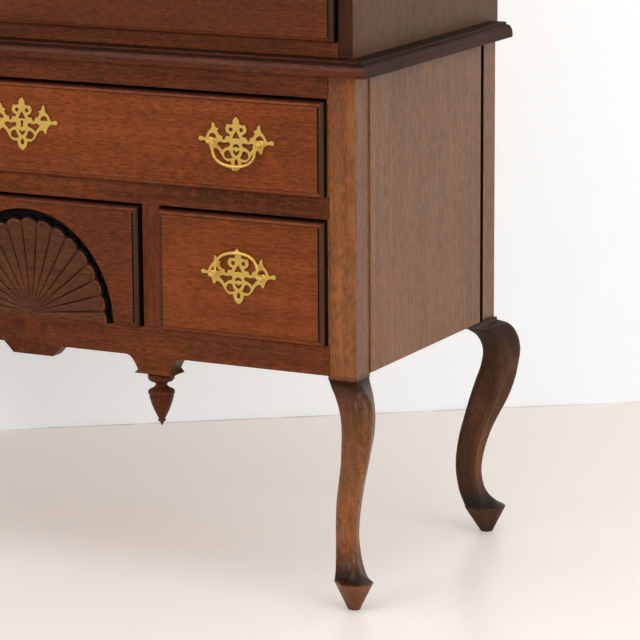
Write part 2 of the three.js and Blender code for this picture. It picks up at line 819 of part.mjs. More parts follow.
const sides = [['left', -1], ['right', 1]];
for (const [name, side] of sides) {
  add(lowerCase, `leg_front_${name}`, leg([side, -1]), 'post', [side * postAxis, post / 2, 0]);
  add(lowerCase, `leg_rear_${name}`, leg([side, 1]), 'post', [side * postAxis, caseDepth - post / 2, 0]);
  add(lowerCase, `divider_${name}`, divider(side * dividerPlace), 'mahogany');
  add(lowerCase, `pendant_${name}`, pendant(), 'moulding', [side * dividerPlace, pendantSetback, pendantTop]);
  add(upperCase, `upper_side_${name}`, upperSideBoard(side), 'side');
}
add(lowerCase, 'side_panel_right', sidePanel(), 'side');
add(lowerCase, 'side_panel_left', mirrored(sidePanel()), 'side');
add(lowerCase, 'rear_bracket_right', rearBracket(), 'post');
add(lowerCase, 'rear_bracket_left', mirrored(rearBracket()), 'post');
add(lowerCase, 'lower_back', lowerBack(), 'inside');
add(lowerCase, 'lower_top', lowerTopBoard(), 'mahogany');
add(lowerCase, 'middle_frame', middleFrame(), 'mahogany');
add(lowerCase, 'bottom_frame', bottomFrame(), 'inside');
add(lowerCase, 'apron', apron(), 'mahogany');
add(lowerCase, 'waist_moulding', waistMoulding(), 'moulding');

add(upperCase, 'upper_back', upperBack(), 'inside');
add(upperCase, 'upper_top', upperTopBoard(), 'mahogany');
add(upperCase, 'cornice', cornice(), 'moulding');
add(upperCase, 'upper_bottom', upperShelf(upperBottom, upperDrawerBottoms[0]), 'mahogany');
upperDrawerBottoms.slice(1).forEach((bottom, i) => {
  add(upperCase, `upper_frame_${i + 1}`, upperShelf(bottom - upperRail, bottom), 'mahogany');
});

const plateGeometry = pullPlate();
const bailGeometry = bail();
const escutcheonGeometry = plate(keyholeShares);

// A drawer with its pulls. Raised bails lean back on their plates.
function drawer({
  name, centre, bottom, width, height, front, back, depth, pulls, raised = false, locked = false,
}) {
  const group = new THREE.Group();
  const pullLevel = (seat + height - frontTopGap) / 2 + pullRise;
  group.position.set(centre, depth, bottom);
  add(group, `drawer_${name}`, join(front(width, height), drawerBox(width, height, back - depth)), 'mahogany');
  const turn = raised ? Math.PI + THREE.MathUtils.degToRad(bailLean) : 0;
  for (const { place, suffix } of pulls) {
    const pivot = [place, frontFace - pivotOut, pullLevel];
    add(group, `pull_plate_${name}${suffix}`, plateGeometry.clone(), 'brass', pivot);
    add(group, `bail_${name}${suffix}`, bailGeometry.clone(), 'brass', pivot, -turn);
  }
  if (locked) {
    const place = [0, frontFace - pivotOut, pullLevel + escutcheonRise];
    add(group, `escutcheon_${name}`, escutcheonGeometry.clone(), 'brass', place);
  }
  return group;
}

function pair(place) {
  return [{ place: -place, suffix: '_left' }, { place, suffix: '_right' }];
}

const one = [{ place: 0, suffix: '' }];
const sideOpening = postInner - dividerPlace - dividerWidth / 2;
const sideCentre = (postInner + dividerPlace + dividerWidth / 2) / 2;
const lower = { depth: 0, back: lowerBackFront, front: drawerFront };
const small = { ...lower, bottom: smallBottom, height: smallOpening };
lowerCase.add(
  drawer({
    ...lower, name: 'long', centre: 0, bottom: longBottom, width: postInner * 2, height: longOpening,
    pulls: pair(pullPlace), locked: true,
  }),
  drawer({ ...small, name: 'left', centre: -sideCentre, width: sideOpening, pulls: one }),
  drawer({
    ...small, name: 'centre', centre: 0, width: dividerPlace * 2 - dividerWidth, pulls: [], front: shellFront,
  }),
  drawer({ ...small, name: 'right', centre: sideCentre, width: sideOpening, pulls: one, raised: true }),
);
upperOpenings.forEach((height, i) => {
  upperCase.add(drawer({
    name: `upper_${i + 1}`, centre: 0, bottom: upperDrawerBottoms[i], width: upperInner * 2, height,
    front: drawerFront, back: upperBackFront, depth: upperInset, pulls: pair(pullPlace),
  }));
});

// The origin is on the floor, under the middle of the whole piece
highboy.updateMatrixWorld(true);
const bounds = new THREE.Box3().setFromObject(highboy, true);
highboy.position.y = -(bounds.min.y + bounds.max.y) / 2;
highboy.updateMatrixWorld(true);

export default highboy;
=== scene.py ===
"""Highboy: the finish and fine forms of its pieces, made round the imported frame. Lengths are metres."""

import json
import math

import bmesh
import bpy
from bpy.props import FloatProperty, FloatVectorProperty, IntProperty, PointerProperty
from mathutils import Matrix, Vector

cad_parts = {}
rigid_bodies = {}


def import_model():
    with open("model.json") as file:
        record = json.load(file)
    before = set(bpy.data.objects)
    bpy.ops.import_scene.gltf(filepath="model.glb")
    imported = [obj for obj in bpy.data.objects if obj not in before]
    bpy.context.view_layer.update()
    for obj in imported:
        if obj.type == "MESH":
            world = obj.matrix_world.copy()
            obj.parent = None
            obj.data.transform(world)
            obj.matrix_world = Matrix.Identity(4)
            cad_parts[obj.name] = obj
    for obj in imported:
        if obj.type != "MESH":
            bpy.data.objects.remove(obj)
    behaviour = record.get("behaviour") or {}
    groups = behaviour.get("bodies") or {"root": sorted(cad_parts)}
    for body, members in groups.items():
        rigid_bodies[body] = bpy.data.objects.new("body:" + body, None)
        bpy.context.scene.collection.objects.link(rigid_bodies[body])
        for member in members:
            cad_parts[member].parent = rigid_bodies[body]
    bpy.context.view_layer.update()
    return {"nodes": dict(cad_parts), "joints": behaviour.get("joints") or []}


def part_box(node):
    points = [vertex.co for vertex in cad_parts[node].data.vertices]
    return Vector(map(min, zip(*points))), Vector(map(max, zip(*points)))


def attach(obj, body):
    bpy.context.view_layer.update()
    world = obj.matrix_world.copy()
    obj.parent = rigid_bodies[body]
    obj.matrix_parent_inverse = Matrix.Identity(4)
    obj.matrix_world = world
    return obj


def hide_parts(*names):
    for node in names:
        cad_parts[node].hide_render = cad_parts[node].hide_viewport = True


bl_info = {
    "name": "Highboy finish",
    "version": (1, 0, 0),
    "blender": (4, 5, 0),
    "location": "View3D > Sidebar > Highboy",
    "description": "Builds the fine forms and finishes of a highboy round its frame",
    "category": "Object",
}

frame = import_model()

MM = 0.001
SIDES = (("left", -1), ("right", 1))
SMALL_DRAWERS = ("left", "right")
LONG_DRAWERS = ("long", "upper_1", "upper_2", "upper_3", "upper_4")
AXES = {"X": 0, "Y": 1, "Z": 2}

# Sizes of the frame's solids that the fine forms follow, and the camera's own, in its usual millimetres
HALF_POST = 19 * MM
RAIL_DEPTH = 20 * MM
LEG_TOP = 288.2 * MM
SENSOR_WIDTH = 36.0
FOCAL_LENGTH = 190.6


# Sizes and finishes that a user would change

def length(name, default_mm, description):
    """A length property whose default is given in millimetres."""
    return FloatProperty(
        name=name, description=description, default=default_mm * MM, min=0.0, unit="LENGTH", precision=5,
    )


def colour(name, default, description):
    """A colour property, linear red, green and blue."""
    return FloatVectorProperty(
        name=name, description=description, default=default, min=0.0, max=1.0, size=3, subtype="COLOR",
    )


class HighboySizes(bpy.types.PropertyGroup):
    """Sizes of the fine forms, which the frame's solids only rough out."""

    arris: length("Eased edge", 0.7, "Width of the worn arris along a board")
    front_thickness: length("Front thickness", 20.0, "Thickness of a drawer's front")
    lip_width: length("Lip width", 5.0, "Width of the rounded lip round a drawer's front")
    lip_fall: length("Lip fall", 5.0, "How far the lip falls back to its outer edge")
    quirk_width: length("Quirk width", 0.8, "Width of the step between the lip and the flat")
    quirk_depth: length("Quirk depth", 1.1, "Depth of the step between the lip and the flat")
    tray_wall: length("Tray wall", 10.0, "Thickness of a drawer's sides and back")
    tray_bottom: length("Tray bottom", 6.0, "Thickness of a drawer's bottom")
    tray_rise: length("Tray rise", 4.0, "Height of the bottom board above the sides' lower edge")
    tray_drop: length("Tray drop", 5.0, "How far the sides lie below the top of the front")
    shell_half_width: length("Shell half width", 125.9, "Half the width of the shell's recess")
    shell_height: length("Shell height", 135.3, "Rise of the shell's recess at its middle")
    shell_recess: length("Shell recess", 13.0, "Depth of the recess that the shell lies in")
    shell_foot: length("Shell foot", 3.3, "Height of the shell's centre above the front's lower edge")
    shell_lobes: IntProperty(name="Shell lobes", description="Lobes in the half round", default=16, min=3)
    plate_thickness: length("Plate thickness", 1.6, "Thickness of a pierced brass plate")
    post_pitch: length("Post pitch", 69.0, "Distance between the two posts of a pull")
    standoff: length("Standoff", 7.4, "Distance of the bail's hinge line from the plate's face")
    ball_radius: length("Ball radius", 3.2, "Radius of a post's ball head")
    wire_radius: length("Wire radius", 1.7, "Radius of a bail's wire")
    bail_drop: length("Bail drop", 28.9, "Distance from the hinge line to the middle of the grip")


class HighboyFinish(bpy.types.PropertyGroup):
    """Colours and gloss of the highboy and of the floor and wall round it."""

    front_wood: colour("Front wood", (0.136, 0.0315, 0.0068), "Middle tone of the rails, apron and dividers")
    drawer_wood: colour("Drawer wood", (0.198, 0.0432, 0.0083), "Middle tone of the drawer fronts")
    post_wood: colour("Post wood", (0.245, 0.0810, 0.0240), "Middle tone of the posts and legs")
    side_wood: colour("Side wood", (0.205, 0.0900, 0.0400), "Middle tone of the sides")
    moulding_wood: colour("Moulding wood", (0.088, 0.0200, 0.0060), "Middle tone of the mouldings")
    shell_wood: colour("Shell wood", (0.105, 0.0330, 0.0110), "Middle tone of the carved shell")
    inside_wood: colour("Inside wood", (0.480, 0.300, 0.1500), "Middle tone of the plain inside boards")
    brass: colour("Brass", (0.900, 0.590, 0.1350), "Colour of the brass")
    floor: colour("Floor", (0.790, 0.735, 0.6900), "Colour of the floor")
    wall: colour("Wall", (0.860, 0.880, 0.9000), "Colour of the wall")
    varnish: FloatProperty(
        name="Varnish roughness", description="Roughness of the varnish", default=0.34, min=0.0, max=1.0,
    )


# Materials: one output of a node tree, on which sums and products add Math nodes

class Field:
    """A value that changes over a surface."""

    def __init__(self, recipe, socket):
        self.recipe = recipe
        self.socket = socket

    def sum(self, operation, first, second):
        """A Math node of two values, either of which may be a plain number."""
        return self.recipe.add("ShaderNodeMath", {"operation": operation}, {0: first, 1: second})

    def __add__(self, other):
        return self.sum("ADD", self, other)

    __radd__ = __add__

    def __sub__(self, other):
        return self.sum("SUBTRACT", self, other)

    def __rsub__(self, other):
        return self.sum("SUBTRACT", other, self)

    def __mul__(self, other):
        return self.sum("MULTIPLY", self, other)

    __rmul__ = __mul__

    def between(self, low, high):
        """0 where the value is at low and 1 at high, eased and held beyond them."""
        limits = {"Value": self, "From Min": low, "From Max": high}
        return self.recipe.add("ShaderNodeMapRange", {"interpolation_type": "SMOOTHSTEP"}, limits)


class Recipe:
    """A material and the nodes it is made of."""

    def __init__(self, name):
        self.material = bpy.data.materials.new(name)
        self.material.use_nodes = True
        self.tree = self.material.node_tree
        self.tree.nodes.clear()

    def add(self, kind, settings=None, values=None, output=0):
        """Adds a node, sets it up, feeds its sockets and gives one of its outputs."""
        node = self.tree.nodes.new(kind)
        for key, value in (settings or {}).items():
            if key == "stops":
                self.fill(node.color_ramp, value)
            else:
                setattr(node, key, value)
        for key, value in (values or {}).items():
            if isinstance(value, Field):
                self.tree.links.new(value.socket, node.inputs[key])
            else:
                node.inputs[key].default_value = value
        return Field(self, node.outputs[output]) if node.outputs else None

    @staticmethod
    def fill(ramp, stops):
        """Gives a colour ramp its stops, each a place and a colour."""
        while len(ramp.elements) < len(stops):
            ramp.elements.new(1.0)
        for element, (place, tone) in zip(ramp.elements, stops):
            element.position = place
            element.color = (*tone, 1.0)

    def place(self):
        """The object's own coordinates, shifted on each board by its own number."""
        here = self.add("ShaderNodeTexCoord", output="Object")
        board = self.attribute("board")
        steps = {"X": board * 1.7, "Y": board * 2.3, "Z": board * 3.1}
        shift = self.add("ShaderNodeCombineXYZ", values=steps)
        return self.add("ShaderNodeVectorMath", {"operation": "ADD"}, {0: here, 1: shift})

    def attribute(self, name):
        return self.add("ShaderNodeAttribute", {"attribute_name": name}, output="Fac")

    def stretched(self, place, scale):
        return self.add("ShaderNodeVectorMath", {"operation": "MULTIPLY"}, {0: place, 1: scale})

    def noise(self, place, scale, detail=3.0, roughness=0.55, distortion=0.0):
        """Noise with its own scale along each axis."""
        values = {"Vector": self.stretched(place, scale), "Scale": 1.0, "Detail": detail,
                  "Roughness": roughness, "Distortion": distortion}
        return self.add("ShaderNodeTexNoise", values=values)

    def mix(self, share, first, second):
        """Mixes two colours by a share of the second."""
        settings = {"data_type": "RGBA", "clamp_factor": True}
        colours = {6: self.opaque(first), 7: self.opaque(second), 0: share}
        return self.add("ShaderNodeMix", settings, colours, output=2)

    @staticmethod
    def opaque(tone):
        return tone if isinstance(tone, Field) else (*tone, 1.0)

    def bump(self, height, distance, strength):
        values = {"Height": height, "Distance": distance, "Strength": strength}
        return self.add("ShaderNodeBump", values=values, output="Normal")

    def surface(self, values):
        """The material's shader and output."""
        shader = self.add("ShaderNodeBsdfPrincipled", values=values)
        self.add("ShaderNodeOutputMaterial", values={"Surface": shader})
        return self.material


def tinted(tone, factor):
    """A tone made lighter or darker by a factor."""
    return tuple(min(1.0, channel * factor) for channel in tone)


def along(grain, lengthwise, crosswise):
    """A scale for each axis: one along the grain and another across it."""
    scale = [crosswise] * 3
    scale[AXES[grain]] = lengthwise
    return scale


def wood(name, grain, tone, varnish=0.34, contrast=1.0, mottle=0.5, figure=0.0, gloss=0.18):
    """Varnished wood: clouds, streaks and ring lines, bands across the grain, short flecks, pores, dirt and
    painted shade.
    """
    r = Recipe(name)
    here = r.place()
    clouds = r.noise(here, along(grain, 3.0, 11.0), detail=2.0)
    streaks = r.noise(here, along(grain, 3.4, 95.0), detail=4.0, roughness=0.62, distortion=0.35)
    bands = r.noise(here, along(grain, 52.0, 26.0), detail=3.0, roughness=0.6)
    dashes = r.noise(here, along(grain, 90.0, 620.0), detail=2.0, roughness=0.6)
    fibres = r.noise(here, along(grain, 30.0, 1500.0), detail=2.0)
    vessels = r.noise(here, along(grain, 85.0, 1900.0), detail=1.0).between(0.60, 0.72)
    bent = {
        "Vector": r.stretched(here, along(grain, 1.6, 9.0)),
        "Scale": 1.0, "Distortion": 7.0, "Detail": 2.0, "Detail Scale": 0.6,
    }
    round_rings = {"wave_type": "RINGS", "rings_direction": "SPHERICAL"}
    rings = r.add("ShaderNodeTexWave", round_rings, bent, output="Fac")
    level = (streaks * 0.55 + clouds * 0.45 - 0.5) * (2.2 * contrast) + 0.5
    stops = [
        (0.0, tinted(tone, 0.34)), (0.25, tinted(tone, 0.66)),
        (0.5, tinted(tone, 1.0)), (0.75, tinted(tone, 1.34)), (1.0, tinted(tone, 1.75)),
    ]
    base = r.add("ShaderNodeValToRGB", {"stops": stops}, {"Fac": level}, output="Color")
    base = r.mix(rings * figure, base, (tone[0] * 0.52, tone[1] * 0.46, tone[2] * 0.42))
    dull = (tone[0] * 0.78, tone[1] * 0.98, tone[2] * 1.1)
    bright = (tone[0] * 1.22, tone[1] * 1.08, tone[2] * 1.1)
    base = r.mix(bands.between(0.46, 0.68) * mottle, base, dull)
    base = r.mix(bands.between(0.50, 0.30) * mottle, base, bright)
    base = r.mix(dashes.between(0.50, 0.62) * 0.72, base, tinted(tone, 0.55))
    base = r.mix(dashes.between(0.50, 0.38) * 0.45, base, tinted(tone, 1.5))
    base = r.mix(fibres.between(0.46, 0.66) * 0.18, base, tinted(tone, 1.45))
    base = r.mix(vessels * 0.4, base, tinted(tone, 0.25))
    grey_ends = (tone[0] * 0.3, tone[1] * 0.8, tone[2] * 2.2)
    base = r.mix(r.attribute("endgrain") * 0.8, base, grey_ends)
    # Marked edges, ridges and tips go lighter in patches: partly real wear, partly a painted highlight
    wear_highlight_patches = r.noise(here, (26.0, 26.0, 26.0), detail=3.0).between(0.40, 0.62)
    base = r.mix(r.attribute("wear") * (wear_highlight_patches * 0.6 + 0.1), base, tinted(tone, 1.55))
    # Marked faces go nearly black: painted shade in gaps, recesses and on faces the light misses, and dirt as
    # well
    base = r.mix(r.attribute("age"), base, tinted(tone, 0.03))
    # Vertices marked as hollow go dark: painted shade in grooves and creases, and grime as well on the legs
    base = r.mix(r.attribute("hollow") * 0.94, base, tinted(tone, 0.04))
    smears = r.noise(here, (9.0, 9.0, 9.0), detail=4.0, roughness=0.6)
    rough = smears * 0.16 + (varnish - 0.08) + vessels * 0.12 + r.attribute("age") * 0.3
    relief = fibres * 0.35 + dashes * 0.35 - vessels * 0.9
    return r.surface({
        "Base Color": base, "Roughness": rough, "Specular IOR Level": gloss,
        "Normal": r.bump(relief, 0.00006, 0.55),
    })


def plain_wood(name, grain, tone):
    """Unvarnished secondary wood, with growth streaks and a little grime."""
    r = Recipe(name)
    here = r.place()
    streaks = r.noise(here, along(grain, 1.8, 55.0), detail=4.0, distortion=0.5)
    clouds = r.noise(here, along(grain, 2.0, 5.0), detail=2.0)
    fibres = r.noise(here, along(grain, 26.0, 1100.0), detail=2.0)
    stops = [(0.3, tinted(tone, 0.62)), (0.5, tone), (0.7, tinted(tone, 1.28))]
    level = streaks * 0.7 + clouds * 0.3
    base = r.add("ShaderNodeValToRGB", {"stops": stops}, {"Fac": level}, output="Color")
    base = r.mix(fibres.between(0.5, 0.7) * 0.3, base, tinted(tone, 0.6))
    base = r.mix(r.attribute("endgrain") * 0.4, base, tinted(tone, 0.5))
    return r.surface({
        "Base Color": base, "Roughness": clouds * 0.15 + 0.6, "Normal": r.bump(fibres, 0.00008, 0.6),
    })


def brass(name, tone):
    """Soft rubbed brass, duller and darker in its hollows, and dark with painted shade on its marked edge walls.
    """
    r = Recipe(name)
    here = r.place()
    tarnish = r.noise(here, (160.0, 160.0, 160.0), detail=4.0, roughness=0.65)
    pits = r.noise(here, (1500.0, 1500.0, 1500.0), detail=2.0)
    base = r.mix(tarnish.between(0.5, 0.75) * 0.25, tone, tinted(tone, 0.7))
    base = r.mix(r.attribute("hollow") * 0.7, base, tinted(tone, 0.25))
    # Marked faces, the plate's edge walls, go dark with painted shade
    base = r.mix(r.attribute("age") * 0.75, base, tinted(tone, 0.15))
    return r.surface({
        "Base Color": base, "Metallic": 0.68, "Roughness": tarnish * 0.2 + 0.27,
        "Normal": r.bump(pits, 0.00003, 0.4),
    })


# Modelling helpers

def show(name, data):
    """Puts an object made of data into the scene."""
    made = bpy.data.objects.new(name, data)
    bpy.context.scene.collection.objects.link(made)
    return made


def board_number(name):
    """A number for a board's own patch of grain, the same on each run."""
    return sum((i + 1) * ord(letter) for i, letter in enumerate(name)) % 97 / 7.0


def blank(source=None):
    """A bmesh, empty or of a mesh, with a place for each number that the materials read."""
    bm = bmesh.new()
    if source:
        bm.from_mesh(source)
    for name in ("board", "wear", "endgrain", "age"):
        if name not in bm.faces.layers.float:
            bm.faces.layers.float.new(name)
    if "hollow" not in bm.verts.layers.float:
        bm.verts.layers.float.new("hollow")
    return bm


def mark_faces(bm, faces, **values):
    """Writes numbers that the materials read, such as a board's own number, on faces."""
    for name, value in values.items():
        layer = bm.faces.layers.float[name]
        for face in faces:
            face[layer] = value


def mark_ends(bm, faces, grain):
    """Marks how squarely each face cuts across the grain."""
    layer = bm.faces.layers.float["endgrain"]
    for face in faces:
        face[layer] = abs(face.normal[AXES[grain]]) ** 2


def mark_hollow_shade(bm, gain):
    """Marks how deep each vertex lies below its neighbours, for painted shade in the hollows."""
    bm.normal_update()
    layer = bm.verts.layers.float["hollow"]
    for vert in bm.verts:
        lifts = []
        for edge in vert.link_edges:
            step = edge.other_vert(vert).co - vert.co
            if step.length > 1e-7:
                lifts.append(step.normalized().dot(vert.normal))
        mean = sum(lifts) / len(lifts) if lifts else 0.0
        vert[layer] = min(1.0, max(0.0, mean * gain))


def add_block(bm, low, high, material=0, **marks):
    """A board between two corners."""
    size = Vector(high) - Vector(low)
    middle = (Vector(high) + Vector(low)) / 2
    matrix = Matrix.Translation(middle) @ Matrix.Diagonal((*size, 1.0))
    made = bmesh.ops.create_cube(bm, size=1.0, matrix=matrix)
    faces = {face for vert in made["verts"] for face in vert.link_faces}
    for face in faces:
        face.material_index = material
    mark_faces(bm, faces, **marks)
    return faces


def add_outline(bm, points, depth):
    """A flat face through points, made solid by pushing it through a depth vector."""
    face = bm.faces.new([bm.verts.new(point) for point in points])
    pushed = bmesh.ops.extrude_face_region(bm, geom=[face])
    moved = [v for v in pushed["geom"] if isinstance(v, bmesh.types.BMVert)]
    bmesh.ops.translate(bm, vec=depth, verts=moved)
    faces = {f for v in moved for f in v.link_faces} | {face}
    bmesh.ops.recalc_face_normals(bm, faces=list(faces))
    return faces


def ease_edges(bm, width, angle=math.radians(30), segments=2):
    """Rounds the sharp edges a little and marks the rounds as worn, and lighter as a painted highlight."""
    bm.normal_update()
    sharp = [e for e in bm.edges if len(e.link_faces) == 2 and e.calc_face_angle(0.0) > angle]
    made = bmesh.ops.bevel(
        bm, geom=sharp, offset=width, offset_type="OFFSET", segments=segments, profile=0.5,
        affect="EDGES", clamp_overlap=True, material=-1,
    )
    mark_faces(bm, made["faces"], wear=1.0)


def merged_copy(node):
    """The node's own mesh with its loose triangles joined up."""
    bm = blank(frame["nodes"][node].data)
    bmesh.ops.remove_doubles(bm, verts=bm.verts, dist=0.01 * MM)
    return bm


def flattened(bm):
    """Takes away the edges that cross a flat face."""
    bmesh.ops.dissolve_limit(bm, angle_limit=math.radians(1.0), verts=bm.verts, edges=bm.edges)
    return bm


def piece(bm, name, materials, body, stands_for=(), sharp=35.0):
    """Makes a bmesh an object that rides on a body, and hides the nodes it stands for."""
    mesh = bpy.data.meshes.new(name)
    bm.to_mesh(mesh)
    bm.free()
    mesh.shade_smooth()
    mesh.set_sharp_from_angle(angle=math.radians(sharp))
    for material in materials:
        mesh.materials.append(material)
    made = show(name, mesh)
    if stands_for:
        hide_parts(*stands_for)
    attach(made, body)
    flat_normals(made)
    return made


def flat_normals(made):
    """Keeps the shading of flat faces even up to their rounded edges."""
    weighted = made.modifiers.new("Flats", "WEIGHTED_NORMAL")
    weighted.keep_sharp = True


def append(bm, part):
    """Adds one bmesh to another and frees it."""
    scratch = bpy.data.meshes.new("part")
    part.to_mesh(scratch)
    part.free()
    bm.from_mesh(scratch)
    bpy.data.meshes.remove(scratch)


def mesh_of(curve):
    """The mesh that a curve makes, from an object that is taken away again."""
    made = show(curve.name, curve)
    graph = bpy.context.evaluated_depsgraph_get()
    mesh = bpy.data.meshes.new_from_object(made.evaluated_get(graph))
    bpy.data.objects.remove(made)
    return mesh


def arc(centre, radii, start, end, steps):
    """Points of an arc or part of an ellipse, angles in degrees."""
    points = []
    for i in range(steps + 1):
        angle = math.radians(start + (end - start) * i / steps)
        points.append((centre[0] + radii[0] * math.cos(angle), centre[1] + radii[1] * math.sin(angle)))
    return points


def through(points, steps):
    """More points between those given, on a smooth curve that passes through them all."""
    points = [Vector(point) for point in points]
    gaps = [(b - a).length for a, b in zip(points, points[1:])]
    last = len(points) - 1
    slopes = []
    for i in range(last + 1):
        j, k = max(i - 1, 0), min(i + 1, last)
        slopes.append((points[k] - points[j]) / sum(gaps[j:k]))
    curve = []
    for i, gap in enumerate(gaps):
        for step in range(steps):
            t = step / steps
            s = 1.0 - t
            curve.append(
                points[i] * (s * s * (1.0 + 2.0 * t)) + slopes[i] * (gap * t * s * s)
                + points[i + 1] * (t * t * (1.0 + 2.0 * s)) - slopes[i + 1] * (gap * t * t * s)
            )
    return [tuple(point) for point in [*curve, points[last]]]


def turned(profile, centre, axis, steps):
    """A profile of points, each a radius and a place along the axis, spun about that axis."""
    bm = blank()
    axis = Vector(axis)
    out = axis.orthogonal().normalized()
    verts = [bm.verts.new(Vector(centre) + out * r + axis * a) for r, a in profile]
    edges = [bm.edges.new(pair) for pair in zip(verts, verts[1:])]
    bmesh.ops.spin(bm, geom=verts + edges, cent=centre, axis=axis, angle=math.tau, steps=steps, use_merge=True)
    bmesh.ops.remove_doubles(bm, verts=bm.verts, dist=0.002 * MM)
    bmesh.ops.recalc_face_normals(bm, faces=bm.faces)
    return bm


materials = {}


def finish_of(scene):
    """Makes the materials once, from the scene's own colours."""
    if materials:
        return materials
    f = scene.highboy_finish
    for grain in "XYZ":
        materials["front", grain] = wood(f"front_wood_{grain}", grain, f.front_wood, f.varnish, 2.2, 0.8, 0.3)
        materials["inside", grain] = plain_wood(f"inside_wood_{grain}", grain, f.inside_wood)
        materials["moulding", grain] = wood(
            f"moulding_wood_{grain}", grain, f.moulding_wood, f.varnish, 1.4, 0.5, 0.0, 0.16,
        )
    materials["drawer", "X"] = wood("drawer_wood", "X", f.drawer_wood, f.varnish, 1.0, 0.6, 0.12)
    materials["post", "Z"] = wood("post_wood", "Z", f.post_wood, f.varnish - 0.06, 2.0, 0.9, 0.6, 0.3)
    materials["side", "Z"] = wood("side_wood", "Z", f.side_wood, f.varnish, 0.8, 0.3, 0.14, 0.3)
    materials["shell", "X"] = wood("shell_wood", "X", f.shell_wood, f.varnish, 0.9, 0.4, 0.0, 0.2)
    materials["brass"] = brass("soft_brass", f.brass)
    return materials


# Operators

class HIGHBOY_OT_stage(bpy.types.Operator):
    """Make the floor, the wall, the lights and the camera"""

    bl_idname = "highboy.stage"
    bl_label = "Stage"

    def execute(self, context):
        f = context.scene.highboy_finish
        context.scene.view_settings.view_transform = "Standard"
        self.floor_and_wall(f)
        self.lights(context)
        self.camera(context)
        return {"FINISHED"}

    @staticmethod
    def pale(name, tone, roughness, lift, foot=None):
        """A pale scuffed surface, clear from behind, lighter to the camera and darker in gloss far out, with a
        painted shadow along the wall's foot.
        """
        r = Recipe(name)
        here = r.add("ShaderNodeTexCoord", output="Object")
        cloud = r.noise(here, (1.3, 1.3, 1.3), detail=3.0)
        scuffs = r.noise(here, (9.0, 14.0, 9.0), detail=6.0, roughness=0.7)
        scratches = r.noise(here, (70.0, 25.0, 40.0), detail=4.0, roughness=0.7)
        base = r.mix(cloud.between(0.35, 0.7) * 0.5, tone, tinted(tone, 0.97))
        base = r.mix(scuffs.between(0.58, 0.76) * 0.4, base, tinted(tone, 0.86))
        base = r.mix(scratches.between(0.66, 0.72) * 0.5, base, tinted(tone, 0.8))
        if foot:
            at, inward = foot
            dot = {"operation": "DOT_PRODUCT"}
            away = r.add("ShaderNodeVectorMath", dot, {0: here, 1: inward}, output="Value")
            # A painted shadow line along the floor's join with the wall, broken up by the scuffs
            gap = (away - at.dot(inward)).between(0.009, 0.001) * scuffs.between(0.38, 0.56)
            base = r.mix(gap * 0.85, base, tinted(tone, 0.45))
        ahead = r.add("ShaderNodeSeparateXYZ", values={0: here}, output="Y").between(0.1, -0.9)
        gloss = r.add("ShaderNodeLightPath", output="Is Glossy Ray")
        seen = r.add("ShaderNodeLightPath", output="Is Camera Ray")
        base = r.mix(gloss * ahead * 0.6, base, tinted(tone, 0.12))
        behind = r.add("ShaderNodeNewGeometry", output="Backfacing")
        return r.surface({
            "Base Color": base, "Roughness": roughness,
            "Emission Color": base, "Emission Strength": seen * lift, "Alpha": 1.0 - behind,
        })

    def floor_and_wall(self, f):
        wall_left, wall_right = Vector((-0.363, 0.443, 0.0)), Vector((0.288, 0.919, 0.0))
        way = (wall_right - wall_left).normalized()
        reach, height = 9.0, 6.0
        foot = [wall_left - way * reach, wall_left + way * reach]
        inward = Vector((way.y, -way.x, 0.0)) * reach
        floor = self.sheet([foot[0], foot[0] + inward, foot[1] + inward, foot[1]])
        up = Vector((0, 0, height))
        wall = self.sheet([foot[0], foot[1], foot[1] + up, foot[0] + up])
        foot_line = (wall_left, inward.normalized())
        for bm, name, material in (
            (floor, "floor", self.pale("floor_paint", f.floor, 0.3, 0.24, foot_line)),
            (wall, "wall", self.pale("wall_paint", f.wall, 0.8, 0.29)),
        ):
            mesh = bpy.data.meshes.new(name)
            bm.to_mesh(mesh)
            bm.free()
            mesh.materials.append(material)
            made = show(name, mesh)

    @staticmethod
    def sheet(corners):
        """One flat face, seen from the side from which its corners turn anticlockwise."""
        bm = blank()
        bm.faces.new([bm.verts.new(corner) for corner in corners])
        bm.normal_update()
        return bm

    def lights(self, context):
        """An even pale room, which shows darker in gloss, and three large soft lamps."""
        world = bpy.data.worlds.new("room")
        context.scene.world = world
        world.use_nodes = True
        tree = world.node_tree
        path = tree.nodes.new("ShaderNodeLightPath")
        level = tree.nodes.new("ShaderNodeMapRange")
        level.inputs["To Min"].default_value = 0.8
        level.inputs["To Max"].default_value = 0.3
        tree.links.new(path.outputs["Is Glossy Ray"], level.inputs["Value"])
        tree.links.new(level.outputs["Result"], tree.nodes["Background"].inputs["Strength"])
        tree.nodes["Background"].inputs["Color"].default_value = (1.0, 0.985, 0.965, 1.0)
        target = Vector((0.2, 0.0, 0.55))
        for name, place, size, power in (
            ("window_right", (3.6, -1.2, 1.9), 2.4, 40.0),
            ("lamp_front", (-1.6, -3.9, 2.3), 1.8, 36.0),
            ("lamp_above", (0.4, -0.9, 3.9), 2.4, 30.0),
        ):
            lamp = bpy.data.lights.new(name, "AREA")
            lamp.shape = "SQUARE"
            lamp.size = size
            lamp.energy = power
            made = show(name, lamp)
            made.location = place
            made.rotation_euler = (target - Vector(place)).to_track_quat("-Z", "Y").to_euler()

    def camera(self, context):
        eye = Vector((2.2423, -3.7706, 1.2294))
        yaw, pitch, roll = math.radians(27.163), math.radians(12.198), math.radians(-0.347)
        data = bpy.data.cameras.new("camera")
        data.sensor_width = SENSOR_WIDTH
        data.lens = FOCAL_LENGTH
        made = show("camera", data)
        turn = Matrix.Rotation(yaw, 4, "Z") @ Matrix.Rotation(math.pi / 2 - pitch, 4, "X")
        made.matrix_world = Matrix.Translation(eye) @ turn @ Matrix.Rotation(roll, 4, "Z")
        context.scene.camera = made


